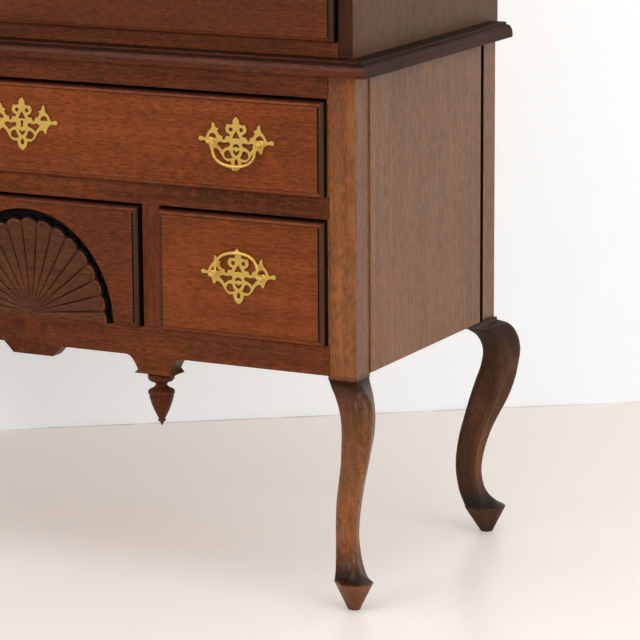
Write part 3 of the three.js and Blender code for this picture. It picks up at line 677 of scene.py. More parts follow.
class HIGHBOY_OT_case(bpy.types.Operator):
    """Make the rails, panels, boards and top of both cases with eased edges"""

    bl_idname = "highboy.case"
    bl_label = "Case boards"

    boards = {
        "side_panel_left": ("side", "Z", "side_wood"), "side_panel_right": ("side", "Z", "side_wood"),
        "upper_side_left": ("side", "Z", "side_wood"), "upper_side_right": ("side", "Z", "side_wood"),
        "divider_left": ("front", "Z", "front_wood"), "divider_right": ("front", "Z", "front_wood"),
        "lower_top": ("front", "X", "front_wood"), "middle_frame": ("front", "X", "front_wood"),
        "upper_bottom": ("front", "X", "front_wood"), "upper_top": ("front", "X", "front_wood"),
        "upper_frame_1": ("front", "X", "front_wood"), "upper_frame_2": ("front", "X", "front_wood"),
        "upper_frame_3": ("front", "X", "front_wood"),
        "lower_back": ("inside", "X", "inside_wood"), "upper_back": ("inside", "Z", "inside_wood"),
        "bottom_frame": ("inside", "X", "inside_wood"),
    }

    # How much darker the upper case's sides are painted
    upper_side_darkness = 0.5

    @staticmethod
    def shade_channel(bm):
        """Marks the faces of the sunk channel before the rear post to be painted black, as shade in the deep
        channel.
        """
        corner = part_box("side_panel_right")[1]
        rear = corner.y + 1 * MM
        outside = corner.x - 0.5 * MM
        reach = 45 * MM
        for face in bm.faces:
            middle = face.calc_center_median()
            if rear - reach < middle.y < rear and abs(middle.x) < outside:
                mark_faces(bm, [face], age=1.0)

    def execute(self, context):
        sizes = context.scene.highboy_sizes
        finish = finish_of(context.scene)
        for node, (kind, grain, slot) in self.boards.items():
            bm = flattened(merged_copy(node))
            bm.normal_update()
            age = self.upper_side_darkness if node.startswith("upper_side") else 0.0
            mark_faces(bm, bm.faces, board=board_number(node), wear=0.0, age=age)
            mark_ends(bm, bm.faces, grain)
            if node.startswith("side_panel"):
                self.shade_channel(bm)
            woods = [finish[kind, grain]]
            if node.startswith("upper_side"):
                woods.append(finish["front", "Z"])
                for face in bm.faces:
                    face.material_index = int(face.normal.y < -0.9)
            ease_edges(bm, sizes.arris)
            piece(bm, f"{node}_eased", woods, "root", [node])
        return {"FINISHED"}


class HIGHBOY_OT_legs(bpy.types.Operator):
    """Make the cabriole legs and the brackets behind them as smooth carved forms"""

    bl_idname = "highboy.legs"
    bl_label = "Legs"

    # Millimetres: height, reach of the outer, inner and side corners, place of the side ones, their round and
    # the toe's; then how dark the level is painted, for grime and for painted shade in the instep,
    # under the knee and at the foot
    foot = [(0.0, 24.4, 9.6, 7.2, 17.0, 4.0, 6.0, 0.9), (0.9, 25.4, 8.6, 8.2, 17.0, 5.0, 7.0, 0.4),
            (33.2, 41.6, -12.8, 21.4, 5.0, 10.0, 22.6, 0.1)]
    shaft = [
        (34.2, 42.0, -13.0, 21.6, 5.0, 10.0, 23.0, 0.3), (35.6, 40.0, -13.3, 21.2, 4.6, 9.5, 22.0, 0.85),
        (39.0, 33.5, -14.4, 20.2, 3.2, 8.6, 17.0, 1.0), (45.0, 25.5, -16.8, 18.6, 0.4, 7.4, 11.0, 0.95),
        (53.0, 18.0, -20.0, 17.2, -2.6, 7.4, 8.2, 0.75), (63.9, 12.4, -23.0, 16.0, -5.5, 8.1, 8.1, 0.45),
        (85.0, 8.7, -26.3, 14.8, -8.8, 9.4, 9.4, 0.05), (108.0, 11.7, -26.0, 15.2, -7.2, 9.4, 9.4, 0.0),
        (133.9, 20.0, -21.7, 16.1, -0.8, 10.0, 10.0, 0.0), (156.1, 31.0, -15.5, 16.6, 7.7, 10.0, 10.0, 0.0),
        (180.9, 45.4, -8.0, 17.4, 18.8, 10.6, 10.6, 0.0), (205.1, 55.0, 0.5, 19.0, 26.9, 11.9, 11.9, 0.05),
        (226.1, 59.9, 8.5, 20.4, 33.2, 13.1, 13.1, 0.15), (247.9, 62.5, 11.3, 21.7, 33.2, 14.4, 14.4, 0.3),
        (267.0, 57.7, 2.5, 23.3, 21.9, 14.4, 14.4, 0.6), (280.5, 47.0, -18.0, 25.0, 6.0, 9.0, 9.0, 0.85),
        (287.0, 30.0, -26.0, 25.5, 0.0, 3.0, 3.0, 1.0),
    ]
    post = (25.63, -26.66, 26.66, 0.0, 0.5, 3.0)
    rear_shade_and_dirt = 0.42
    shaded_darkness = 0.7
    bracket_shade_and_dirt = 0.85
    bracket_ease = 2 * MM
    ridge = (32 * MM, 34.3 * MM)
    highlight_and_wear_from = 9 * MM

    def execute(self, context):
        finish = finish_of(context.scene)
        woods = [finish["post", "Z"], finish["side", "Z"]]
        for name, side in SIDES:
            for end, way in (("front", -1), ("rear", 1)):
                self.leg(f"leg_{end}_{name}", (side, way), woods)
            node = f"rear_bracket_{name}"
            bm = flattened(merged_copy(node))
            # The bracket is painted dark, for shade and dirt
            mark_faces(bm, bm.faces, board=board_number(name), age=self.bracket_shade_and_dirt)
            ease_edges(bm, self.bracket_ease)
            piece(bm, f"{node}_carved", woods, "root", [node])
        return {"FINISHED"}

    def leg(self, node, toward, woods):
        """A grid bent round the leg: its columns run round each level and its rows climb from foot to post."""
        low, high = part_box(node)
        centre = Vector((
            low.x + HALF_POST if toward[0] > 0 else high.x - HALF_POST,
            low.y + HALF_POST if toward[1] > 0 else high.y - HALF_POST, 0.0,
        ))
        levels = [*self.foot, *through(self.shaft, 4)]
        top = high.z / MM
        # Painted shade up the post: black in the seam above the knee, and darker at its top under the moulding
        for height, painted_post_shade in ((288.0, 1.0), (288.4, 0.6), (296.0, 0.0), (top - 12.0, 0.0), (top, 0.5)):
            levels.append((height, *self.post, painted_post_shade))
        rings = [self.outline(level, toward) for level in levels]
        columns, rows = len(rings[0]), len(rings) - 1
        bm = blank()
        grime_and_shade = bm.verts.layers.float["hollow"]
        for vert in bmesh.ops.create_grid(bm, x_segments=columns, y_segments=rows, size=1.0)["verts"]:
            column = round((vert.co.x + 1) / 2 * columns) % columns
            row = round((vert.co.y + 1) / 2 * rows)
            vert.co = centre + rings[row][column]
            vert[grime_and_shade] = levels[row][7]
        bmesh.ops.remove_doubles(bm, verts=bm.verts, dist=0.002 * MM)
        bmesh.ops.edgeloop_fill(bm, edges=[edge for edge in bm.edges if edge.is_boundary])
        bmesh.ops.recalc_face_normals(bm, faces=bm.faces)
        bm.normal_update()
        rear = toward[1] > 0
        mark_faces(bm, bm.faces, board=board_number(node), wear=0.0)
        for face in bm.faces:
            middle = face.calc_center_median()
            out = (middle - centre).x * toward[0]
            if middle.z > LEG_TOP:
                if face.normal.x * toward[0] > 0.6:
                    face.material_index = 1
                # The rear post's faces turned forward into the channel get painted shade
                elif rear and face.normal.y < -0.8:
                    mark_faces(bm, [face], age=1.0)
                # Post faces out towards the side arris go lighter: wear, and a painted highlight by the rounded
                # corner
                elif out > self.highlight_and_wear_from:
                    mark_faces(bm, [face], wear=0.75)
            # The rear leg is painted darker for shade and dirt, more towards the knee, and darker still with
            # painted shade on faces turned from the light and at the foot
            elif rear:
                turned_away = face.normal.y < -0.3 or face.normal.x * toward[0] < -0.3
                age = self.rear_shade_and_dirt * (1.0 + 0.35 * min(1.0, middle.z / 0.25))
                shaded = turned_away or middle.z < 34 * MM
                mark_faces(bm, [face], age=max(age, self.shaded_darkness) if shaded else age)
            # A painted highlight along the foot's ridge
            if self.ridge[0] < middle.z < self.ridge[1]:
                mark_faces(bm, [face], wear=1.0)
        piece(bm, f"{node}_carved", woods, "root", [node], sharp=38.0)

    @staticmethod
    def outline(level, toward):
        """The points of one level: four rounded corners on the square's diagonals, the outer one the toe."""
        height, outer, inner, side, at, radius, toe = (value * MM for value in level[:7])
        corners = [(outer - toe, 0.0, toe), (at, side - radius, radius), (inner + radius, 0.0, radius),
                   (at, radius - side, radius)]
        spread = math.pi / 4 + 0.44 * min(1.0, max(0.0, toe - 10 * MM) / (12 * MM))
        ends = [(-spread, spread), (spread, 3 * math.pi / 4), (3 * math.pi / 4, 5 * math.pi / 4),
                (5 * math.pi / 4, 2 * math.pi - spread)]
        points = []
        for (reach, across, r), (start, end) in zip(corners, ends):
            for step in range(9):
                angle = start + (end - start) * step / 8
                points.append((reach + r * math.cos(angle), across + r * math.sin(angle)))
        strip = 0.24
        seam = [points[8], points[9]], [points[0], points[-1]]
        first, last = ([a + (b - a) * strip for a, b in zip(*pair)] for pair in seam)
        points = [*points[:9], first, *points[9:], last]
        up = Vector((0.0, 0.0, height))
        return [
            Vector((toward[0] * (u + w), toward[1] * (u - w), 0.0)) / math.sqrt(2.0) + up
            for u, w in points
        ]


class HIGHBOY_OT_apron(bpy.types.Operator):
    """Make the shaped apron and its turned pendants"""

    bl_idname = "highboy.apron"
    bl_label = "Apron and pendants"

    def execute(self, context):
        sizes = context.scene.highboy_sizes
        finish = finish_of(context.scene)
        bm = blank()
        low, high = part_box("apron")
        pendant_low, pendant_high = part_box("pendant_right")
        drop_at = (pendant_low.x + pendant_high.x) / 2
        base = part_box("side_panel_right")[0].z
        tip = low.z
        depth = Vector((0.0, RAIL_DEPTH, 0.0))
        right = [(29.3 * MM, base - 14 * MM), (43.3 * MM, base)]
        right += self.drop(drop_at, base, tip)
        right += [(high.x, base), (high.x, high.z)]
        outline = [(-x, z) for x, z in reversed(right)] + right
        add_outline(bm, [(x, low.y, z) for x, z in outline], depth)
        top = base + 22 * MM
        for _, side in SIDES:
            edge = self.drop(side * drop_at, base, tip)
            edge += [(edge[-1][0], top), (edge[0][0], top)]
            start = low.y + RAIL_DEPTH
            add_outline(bm, [(x, start, z) for x, z in edge], Vector((0.0, high.y - start, 0.0)))
        bm.normal_update()
        mark_faces(bm, bm.faces, board=board_number("apron"), wear=0.0)
        mark_ends(bm, bm.faces, "X")
        ease_edges(bm, sizes.arris)
        piece(bm, "apron_shaped", [finish["front", "X"]], "root", ["apron"])
        for name, side in SIDES:
            self.pendant(f"pendant_{name}", finish["moulding", "Z"])
        return {"FINISHED"}

    @staticmethod
    def drop(at, base, tip):
        """A drop's two edges: each curves in from the flat of the apron to a waist, then lips out to the tip."""
        curve = through([(39.0, 0.0), (33.3, -2.0), (28.5, -7.3), (24.9, -13.0), (22.5, -18.0)], 4)
        edge = [*((x * MM, base + z * MM) for x, z in curve), (27.6 * MM, tip)]
        return [(at - x, z) for x, z in edge] + [(at + x, z) for x, z in reversed(edge)]

    def pendant(self, node, material):
        low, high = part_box(node)
        centre = (low + high) / 2
        profile = [
            (0, 0), (14.2, 0), *arc((13.6, -5.4), (3.5, 5.2), 80, -60, 8), (14.4, -10.9), (9.6, -11.7),
            *through([(8.6, -12.6), (7.3, -15.9), (8.6, -18.4), (12.5, -21.0)], 4),
            *arc((13.9, -25.6), (3.1, 3.6), 70, -70, 8), (15.4, -30.2), (15.6, -31.2),
            *through([(15.3, -32.0), (13.4, -38.6), (10.7, -46.1), (7.2, -54.0), (4.2, -59.4)], 4),
            *arc((3.0, -61.8), (2.1, 1.7), 60, -60, 5), (2.6, -64.2), (1.4, -67.2), (0, -69.2),
        ]
        profile = [(r * MM, z * MM) for r, z in profile]
        bm = turned(profile, (centre.x, centre.y, high.z), (0.0, 0.0, 1.0), 48)
        mark_faces(bm, bm.faces, board=board_number(node))
        mark_hollow_shade(bm, 1.6)
        piece(bm, f"{node}_turned", [material], "root", [node], sharp=50.0)


class HIGHBOY_OT_mouldings(bpy.types.Operator):
    """Make the waist moulding and the cornice from mitred lengths"""

    bl_idname = "highboy.mouldings"
    bl_label = "Mouldings"

    return_darkness = 0.55
    top_shade_and_dirt = 0.75

    def execute(self, context):
        finish = finish_of(context.scene)
        grain = [finish["moulding", "X"], finish["moulding", "Y"]]
        case_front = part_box("lower_top")[0].y
        waist = [
            (-7.1, 16.3), (0.3, 16.3), (0.3, 0), (23.2, 0), (24.0, 0.8), (24.0, 4.0),
            *arc((17.0, 4.0), (7.0, 12.0), 8, 90, 10), (15.6, 16.0), (15.0, 16.6), (15.0, 19.0), (14.4, 19.4),
            (-7.1, 19.4),
        ]
        self.mitred("waist_moulding", waist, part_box("side_panel_right")[1].x, case_front, grain)
        cornice = [
            (0.3, 0), (5.6, 0), *arc((5.6, 3.6), (2.6, 3.6), -90, 90, 8), (5.4, 7.8), (8.0, 8.6), (8.0, 10.2),
            *arc((36.0, 10.2), (28.0, 33.0), 180, 92, 14), (35.6, 44.0), (38.4, 44.0), (38.4, 47.6),
            *arc((38.4, 57.0), (11.6, 9.4), -88, -5, 8), (50.0, 58.0), (50.0, 62.0), (0.3, 62.0),
        ]
        upper_low, upper_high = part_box("upper_side_right")
        self.mitred("cornice", cornice, upper_high.x, upper_low.y, grain)
        return {"FINISHED"}

    def mitred(self, node, profile, half, front, grain):
        """A front length and two returns with one profile, given as out and up in millimetres."""
        low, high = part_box(node)
        reach = 80 * MM
        bm = blank()
        across = [(-half - reach, front - out * MM, low.z + up * MM) for out, up in profile]
        add_outline(bm, across, Vector((2 * (half + reach), 0.0, 0.0)))
        for _, side in SIDES:
            self.cut(bm, Vector((side * half, front, 0.0)), Vector((side, 1.0, 0.0)))
        mark_faces(bm, bm.faces, board=board_number(node), wear=0.0)
        for name, side in SIDES:
            length = [(side * (half + out * MM), front - reach, low.z + up * MM) for out, up in profile]
            part = blank()
            add_outline(part, length, Vector((0.0, high.y - front + reach, 0.0)))
            self.cut(part, Vector((side * half, front, 0.0)), Vector((-side, -1.0, 0.0)))
            for face in part.faces:
                face.material_index = 1
            # The returns are painted darker
            mark_faces(part, part.faces, board=board_number(node + name), wear=0.0, age=self.return_darkness)
            append(bm, part)
        bmesh.ops.recalc_face_normals(bm, faces=bm.faces)
        bm.normal_update()
        # Upward faces are painted dark, for dirt and painted shade
        mark_faces(bm, [face for face in bm.faces if face.normal.z > 0.6], age=self.top_shade_and_dirt)
        mark_hollow_shade(bm, 0.9)
        piece(bm, f"{node}_mitred", grain, "root", [node], sharp=28.0)

    @staticmethod
    def cut(bm, point, normal):
        """Cuts the length at a mitre, takes away what lies beyond it and closes the cut."""
        geom = [*bm.verts, *bm.edges, *bm.faces]
        made = bmesh.ops.bisect_plane(
            bm, geom=geom, dist=1e-7, plane_co=point, plane_no=normal, clear_outer=True,
        )
        rim = [e for e in made["geom_cut"] if isinstance(e, bmesh.types.BMEdge)]
        bmesh.ops.edgeloop_fill(bm, edges=rim)


class HIGHBOY_OT_drawers(bpy.types.Operator):
    """Make the drawers with rounded lips, plain sides and plain wood inside"""

    bl_idname = "highboy.drawers"
    bl_label = "Drawers"

    # How much painted shade darkens each front, the higher ones getting less light, and how much each is worn
    # lighter
    looks = {"left": (0.0, 0.18), "right": (0.0, 0.18), "long": (0.0, 0.0)}
    upper_looks = (0.42, 0.0)

    def execute(self, context):
        sizes = context.scene.highboy_sizes
        finish = finish_of(context.scene)
        for name in (*SMALL_DRAWERS, *LONG_DRAWERS):
            node = f"drawer_{name}"
            bm = blank()
            add_front(bm, node, sizes, *self.looks.get(name, self.upper_looks))
            add_tray(bm, node, sizes)
            slots = [finish["drawer", "X"], finish["inside", "X"], finish["inside", "Y"]]
            piece(bm, f"{node}_joined", slots, node, [node], sharp=28.0)
        return {"FINISHED"}


def add_front(bm, node, sizes, age=0.0, wear=0.0):
    """The front board of a drawer, with a rounded lip and a quirk round its flat, and painted shade in its gaps
    and lines.
    """
    low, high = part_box(node)
    back = low.y + sizes.front_thickness
    edge = low.y + sizes.quirk_depth + sizes.lip_fall
    part = blank()
    corners = [(low.x, back, low.z), (high.x, back, low.z), (high.x, back, high.z), (low.x, back, high.z)]
    add_outline(part, corners, Vector((0.0, edge - back, 0.0)))
    face = min(part.faces, key=lambda f: f.calc_center_median().y)
    steps = 8
    for i in range(steps):
        before, after = (math.pi / 2 * (i + s) / steps for s in (0, 1))
        inward = sizes.lip_width * (math.cos(before) - math.cos(after))
        forward = sizes.lip_fall * (math.sin(after) - math.sin(before))
        bmesh.ops.inset_region(part, faces=[face], thickness=inward, depth=forward, use_even_offset=True)
    quirk = bmesh.ops.inset_region(
        part, faces=[face], thickness=sizes.quirk_width, depth=sizes.quirk_depth, use_even_offset=True,
    )["faces"]
    shadow_ring = bmesh.ops.inset_region(
        part, faces=[face], thickness=0.8 * MM, depth=0.0, use_even_offset=True,
    )["faces"]
    part.normal_update()
    mark_faces(part, part.faces, board=board_number(node), wear=wear, age=age)
    # Painted shade: side walls in the gaps go black, upward faces dark for shade and dust, end-grain lips a
    # little dark
    for face in part.faces:
        across, up = abs(face.normal.x), face.normal.z
        if across > 0.98 or up > 0.9:
            mark_faces(part, [face], age=1.0 if across > 0.98 else 0.85)
        elif across > abs(up) + 0.001:
            mark_faces(part, [face], endgrain=1.0, age=max(age, 0.2))
        elif up > 0.6:
            mark_faces(part, [face], age=0.55)
    # Painted shade lines round the flat: the quirk and a thin ring beside it, blackest at the ends
    middle, half = (low + high) / 2, (high - low) / 2
    for ring, upright, level in ((quirk, 1.0, 0.5), (shadow_ring, 0.95, 0.25)):
        for face in ring:
            away = face.calc_center_median() - middle
            ends_here = half.x - abs(away.x) < half.z - abs(away.z)
            mark_faces(part, [face], age=upright if ends_here else level)
    append(bm, part)


def add_tray(bm, node, sizes):
    """Two sides, a back and a bottom board behind a drawer's front."""
    low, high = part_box(node)
    start = low.y + sizes.front_thickness
    top = high.z - sizes.tray_drop
    wall = sizes.tray_wall
    floor = low.z + sizes.tray_rise
    part = blank()
    tail = 6 * MM
    for side, x in (("left", low.x), ("right", high.x - wall)):
        add_block(
            part, (x, start - tail, low.z), (x + wall, high.y, top), 2, board=board_number(node + side),
        )
    add_block(
        part, (low.x + wall, high.y - wall, low.z), (high.x - wall, high.y, top), 1,
        board=board_number(node),
    )
    add_block(
        part, (low.x + wall, start, floor), (high.x - wall, high.y - wall, floor + sizes.tray_bottom), 1,
        board=board_number(node + "bottom"),
    )
    mark_faces(part, part.faces, wear=0.0)
    append(bm, part)


class HIGHBOY_OT_shell(bpy.types.Operator):
    """Make the centre drawer with its carved shell"""

    bl_idname = "highboy.shell"
    bl_label = "Shell drawer"

    node = "drawer_centre"

    def execute(self, context):
        sizes = context.scene.highboy_sizes
        finish = finish_of(context.scene)
        bm = blank()
        # The centre front is painted a little darker all over
        add_front(bm, self.node, sizes, 0.3)
        add_tray(bm, self.node, sizes)
        slots = [finish["drawer", "X"], finish["inside", "X"], finish["inside", "Y"]]
        front = piece(bm, "drawer_centre_joined", slots, self.node, [self.node], sharp=28.0)
        self.cut_recess(front, sizes)
        self.carve(sizes, finish["shell", "X"])
        return {"FINISHED"}

    def edge(self, angle, inset, sizes):
        """Distance of the recess's edge from the shell's centre: a half round that rises to its middle."""
        rise = (sizes.shell_height - sizes.shell_half_width) * math.sin(angle) ** 3
        return sizes.shell_half_width + rise - inset

    def centre(self, sizes):
        low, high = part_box(self.node)
        return Vector(((low.x + high.x) / 2, low.y, low.z - 0.3 * MM + sizes.shell_foot))

    def cut_recess(self, front, sizes):
        """Cuts the half round out of the front."""
        centre = self.centre(sizes)
        points = [(sizes.shell_half_width, -20 * MM)]
        steps = 96
        for i in range(steps + 1):
            angle = math.pi * i / steps
            r = self.edge(angle, 0.0, sizes)
            points.append((r * math.cos(angle), r * math.sin(angle)))
        points.append((-sizes.shell_half_width, -20 * MM))
        bm = blank()
        forward = -10 * MM
        add_outline(
            bm, [(centre.x + x, centre.y + forward, centre.z + z) for x, z in points],
            Vector((0.0, sizes.shell_recess - forward, 0.0)),
        )
        mesh = bpy.data.meshes.new("recess")
        bm.to_mesh(mesh)
        bm.free()
        tool = show("recess", mesh)
        cut = front.modifiers.new("Recess", "BOOLEAN")
        cut.object = tool
        cut.operation = "DIFFERENCE"
        cut.solver = "EXACT"
        cut.use_self = True
        graph = bpy.context.evaluated_depsgraph_get()
        done = bpy.data.meshes.new_from_object(front.evaluated_get(graph), depsgraph=graph)
        front.modifiers.clear()
        front.data = done
        flat_normals(front)
        bpy.data.objects.remove(tool)

    def carve(self, sizes, material):
        """The fan of lobes: a grid whose columns turn round the centre and whose rows run out to the tips."""
        centre = self.centre(sizes)
        per_lobe = 14
        turns = sizes.shell_lobes * per_lobe
        foot = 2
        columns = turns + 2 * foot
        rows = self.rows()
        bm = blank()
        made = bmesh.ops.create_grid(bm, x_segments=columns, y_segments=len(rows) - 1, size=1.0)
        for vert in made["verts"]:
            column = round((vert.co.x + 1) / 2 * columns)
            row = round((vert.co.y + 1) / 2 * (len(rows) - 1))
            turn = min(max(column - foot, 0), turns)
            drop = max(foot - column, column - foot - turns, 0) / foot * sizes.shell_foot
            angle = math.pi * turn / turns
            vert.co = centre + self.surface(angle, turn / per_lobe, rows[row], drop, sizes)
        back = bmesh.ops.extrude_face_region(bm, geom=bm.faces[:])
        for vert in (v for v in back["geom"] if isinstance(v, bmesh.types.BMVert)):
            vert.co.y = centre.y + sizes.shell_recess
        bmesh.ops.remove_doubles(bm, verts=bm.verts, dist=0.01 * MM)
        bmesh.ops.recalc_face_normals(bm, faces=bm.faces)
        mark_faces(bm, bm.faces, board=board_number("shell"))
        mark_hollow_shade(bm, 3.2)
        self.shade(bm, centre, sizes)
        piece(bm, "shell_carved", [material], self.node, sharp=60.0)

    def shade(self, bm, centre, sizes):
        """Paints a highlight on the tips and painted shade in the recess beyond them, black but for a second thin
        crescent.
        """
        second_crescent = (1.3, 2.0)
        highlight_reach = 4.2
        for face in bm.faces:
            away = face.calc_center_median() - centre
            angle = math.atan2(max(away.z, 0.0), away.x)
            tip = self.tip(angle, angle / math.pi * sizes.shell_lobes, sizes)
            beyond = (math.hypot(away.x, away.z) - tip) / MM
            if beyond > 0.05:
                inside = second_crescent[0] < beyond < second_crescent[1]
                mark_faces(bm, [face], age=0.35 if inside else 1.0)
            elif beyond > -highlight_reach:
                mark_faces(bm, [face], wear=1.0)

    @staticmethod
    def crown(lobe):
        """Height of a lobe's round at a place counted in lobes: 1 on its crest and 0 in the groove beside it."""
        across = abs((lobe + 0.5) % 1.0 - 0.5) * 2.0
        return math.sqrt(max(0.0, 1.0 - min(across, 1.0) ** 2))

    def tip(self, angle, lobe, sizes):
        """Distance of the lobes' scalloped ends from the centre."""
        return self.edge(angle, 13.0 * MM, sizes) - 8.0 * MM * (1.0 - self.crown(lobe))

    @staticmethod
    def rows():
        """Rows from the hub out: which line each follows, how far along it, and its depth below the face."""
        plain_shares = (0.0, 0.05, 0.12, 0.22, 0.34, 0.46, 0.58, 0.70, 0.80, 0.88, 0.93)
        rows = [("lobe", share, 0.0) for share in plain_shares]
        rows += [("lobe", 0.955, 0.1), ("lobe", 0.97, -0.5), ("lobe", 0.985, -0.9), ("lobe", 1.0, -0.2)]
        rows += [("rim", 0.1, 2.4), ("rim", 0.35, 2.8), ("rim", 0.6, 2.1)]
        rows += [("rim", 0.85, 2.2), ("rim", 1.0, 3.4)]
        rows += [("edge", 0.06, 12.0), ("edge", 1.0, 12.0)]
        return rows

    def surface(self, angle, lobe, row, drop, sizes):
        """A point of the carving, from the turn about the centre and the row."""
        line, share, fall = row
        crown = self.crown(lobe)
        tip = self.tip(angle, lobe, sizes)
        rim = self.edge(angle, 9.6 * MM, sizes) - 7.5 * MM * (1.0 - crown)
        out = self.edge(angle, 0.2 * MM, sizes)
        starts = {"lobe": (0.0, tip), "rim": (tip, rim), "edge": (rim, out)}
        start, end = starts[line]
        radius = start + (end - start) * share
        reach = min(1.0, radius / tip)
        dish = 6.2 * MM + 3.0 * MM * math.cos(reach * math.pi / 2) ** 0.8
        groove = (1.0 - crown) * min(3.4 * MM, 0.055 * radius) if line == "lobe" else 0.0
        depth = min(dish + groove + fall * MM, sizes.shell_recess - 0.3 * MM)
        return Vector((radius * math.cos(angle), depth, radius * math.sin(angle) - drop))


class HIGHBOY_OT_pulls(bpy.types.Operator):
    """Make the pierced brass plates, their posts, the bails and the escutcheons"""

    bl_idname = "highboy.pulls"
    bl_label = "Brass pulls"

    # The right half of the plate in millimetres from its middle, and whether each point is a sharp one
    edge = [
        (0, 30.9, 1), (4.2, 26.5, 0), (4.2, 22.2, 1), (8.4, 21.0, 0), (12.5, 21.3, 1), (13.7, 18.6, 0),
        (14.5, 16.0, 0), (13.5, 12.4, 0), (11.3, 10.4, 0), (8.9, 9.4, 1), (8.9, 7.0, 0), (13.8, 6.4, 1),
        (15.2, 3.6, 0), (17.3, 1.9, 0), (19.3, 6.3, 1), (22.7, 7.4, 0), (26.0, 12.4, 1), (23.8, 14.8, 1),
        (28.6, 17.4, 0),
        (29.6, 20.5, 0), (32.6, 23.2, 1), (33.3, 20.0, 0), (34.3, 15.3, 0), (38.6, 10.4, 0), (41.0, 6.0, 0),
        (42.2, 3.2, 1), (44.5, 3.2, 0), (47.0, 4.4, 0), (50.0, 4.3, 0), (51.8, 1.7, 0), (50.0, -0.9, 0),
        (47.0, -0.6, 0), (44.5, -0.5, 0), (41.2, -1.6, 0), (36.3, -8.2, 0), (36.0, -10.8, 1), (33.4, -13.4, 1),
        (31.3, -10.3, 0), (29.3, -8.8, 0), (24.6, -10.8, 0), (20.5, -16.5, 0), (17.0, -21.0, 0), (12.6, -23.9, 0),
        (7.6, -23.8, 1), (6.9, -27.4, 0), (4.5, -32.3, 0), (0, -35.7, 1),
    ]
    holes = [
        [(4.6, 15.2, 0), (7.2, 17.8, 0), (9.8, 15.2, 0), (7.2, 12.6, 0)],
        [(26.5, 3.5, 1), (29.4, 8.3, 0), (33.7, 9.2, 0), (36.8, 6.3, 0), (37.6, 3.5, 1)],
        [(26.4, -3.8, 1), (24.0, -1.6, 0), (21.3, -0.6, 0), (17.0, -1.6, 0), (12.0, -0.9, 0), (9.6, -0.9, 0),
         (8.2, -3.0, 0), (9.2, -5.4, 0), (13.3, -7.0, 0), (17.2, -9.3, 0), (19.3, -11.3, 1), (21.3, -8.4, 0),
         (24.2, -5.4, 0)],
        [(9.4, -11.0, 0), (11.4, -10.5, 0), (14.8, -12.0, 0), (16.8, -16.2, 0), (14.8, -19.8, 0),
         (10.4, -21.0, 0), (4.8, -19.3, 1), (7.4, -15.2, 0)],
    ]
    middle_holes = [
        [(0, 13.3, 1), (2.3, 10.0, 0), (3.8, 7.3, 0), (5.4, 4.1, 1), (0, 4.7, 0), (-5.4, 4.1, 1), (-3.8, 7.3, 0),
         (-2.3, 10.0, 0)],
        [(5.0, -10.3, 1), (2.2, -10.6, 0), (0, -12.6, 1), (-2.2, -10.6, 0), (-5.0, -10.3, 1), (-2.9, -14.2, 0),
         (0, -17.0, 1), (2.9, -14.2, 0)],
        [(0, -20.3, 1), (2.5, -25.0, 0), (0, -28.5, 0), (-2.5, -25.0, 0)],
    ]
    crescent = [(0, -2.3, 0), (3.2, -3.5, 0), (4.8, -6.5, 1), (2.2, -6.8, 0), (0, -5.9, 0), (-2.2, -6.8, 0),
                (-4.8, -6.5, 1), (-3.2, -3.5, 0)]
    keyhole = [(0, 2.2, 0), (2.2, 0, 0), (1.3, -1.9, 1), (1.7, -6.0, 1), (-1.7, -6.0, 1), (-1.3, -1.9, 1),
               (-2.2, 0, 0)]

    raised_turn = math.radians(189.0)
    nub_half = (3.4 * MM, 1.9 * MM, 3.6 * MM)

    def execute(self, context):
        self.sizes = context.scene.highboy_sizes
        self.metal = finish_of(context.scene)["brass"]
        plate = self.plate(self.crescent)
        post = self.post()
        for node in (n for n in frame["nodes"] if n.startswith("pull_plate_")):
            hinge = self.hinge(node.replace("pull_plate_", "bail_"))
            bm = blank()
            on_face = Vector(hinge["pos_m"]) + Vector((0, self.sizes.standoff, 0))
            self.place(bm, plate, Matrix.Translation(on_face))
            for _, side in SIDES:
                offset = Vector((side * self.sizes.post_pitch / 2, 0.0, 0.0))
                self.place(bm, post, Matrix.Translation(Vector(hinge["pos_m"]) + offset))
            self.brass_piece(bm, f"{node}_pierced", hinge["parent"], [node])
        bail = self.bail()
        for node in (n for n in frame["nodes"] if n.startswith("bail_")):
            hinge = self.hinge(node)
            raised = hinge["axis"][0] > 0
            turn = Matrix.Rotation(-self.raised_turn if raised else 0.0, 4, "X")
            bm = blank()
            self.place(bm, bail, Matrix.Translation(Vector(hinge["pos_m"])) @ turn)
            self.brass_piece(bm, f"{node}_drawn", node, [node])
        self.escutcheons()
        return {"FINISHED"}

    @staticmethod
    def hinge(bail):
        return next(j for j in frame["joints"] if j["child"] == bail)

    def escutcheons(self):
        """A keyhole plate in the middle of each long drawer, a little above the pulls."""
        shape = self.plate(self.keyhole)
        low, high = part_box("escutcheon_long")
        rise = (low.z + high.z) / 2 - self.hinge("bail_long_right")["pos_m"][2]
        for name in LONG_DRAWERS:
            hinge = self.hinge(f"bail_{name}_right")["pos_m"]
            face = hinge[1] + self.sizes.standoff
            bm = blank()
            self.place(bm, shape, Matrix.Translation(Vector((0.0, face, hinge[2] + rise + 1.8 * MM))))
            node = ["escutcheon_long"] if name == "long" else []
            self.brass_piece(bm, f"escutcheon_{name}_pierced", f"drawer_{name}", node)

    def brass_piece(self, bm, name, body, nodes):
        piece(bm, name, [self.metal], body, nodes, sharp=50.0)

    @staticmethod
    def place(bm, mesh, matrix):
        """Adds a copy of a mesh at a place."""
        before = set(bm.verts)
        bm.from_mesh(mesh)
        bmesh.ops.transform(bm, matrix=matrix, verts=[v for v in bm.verts if v not in before])

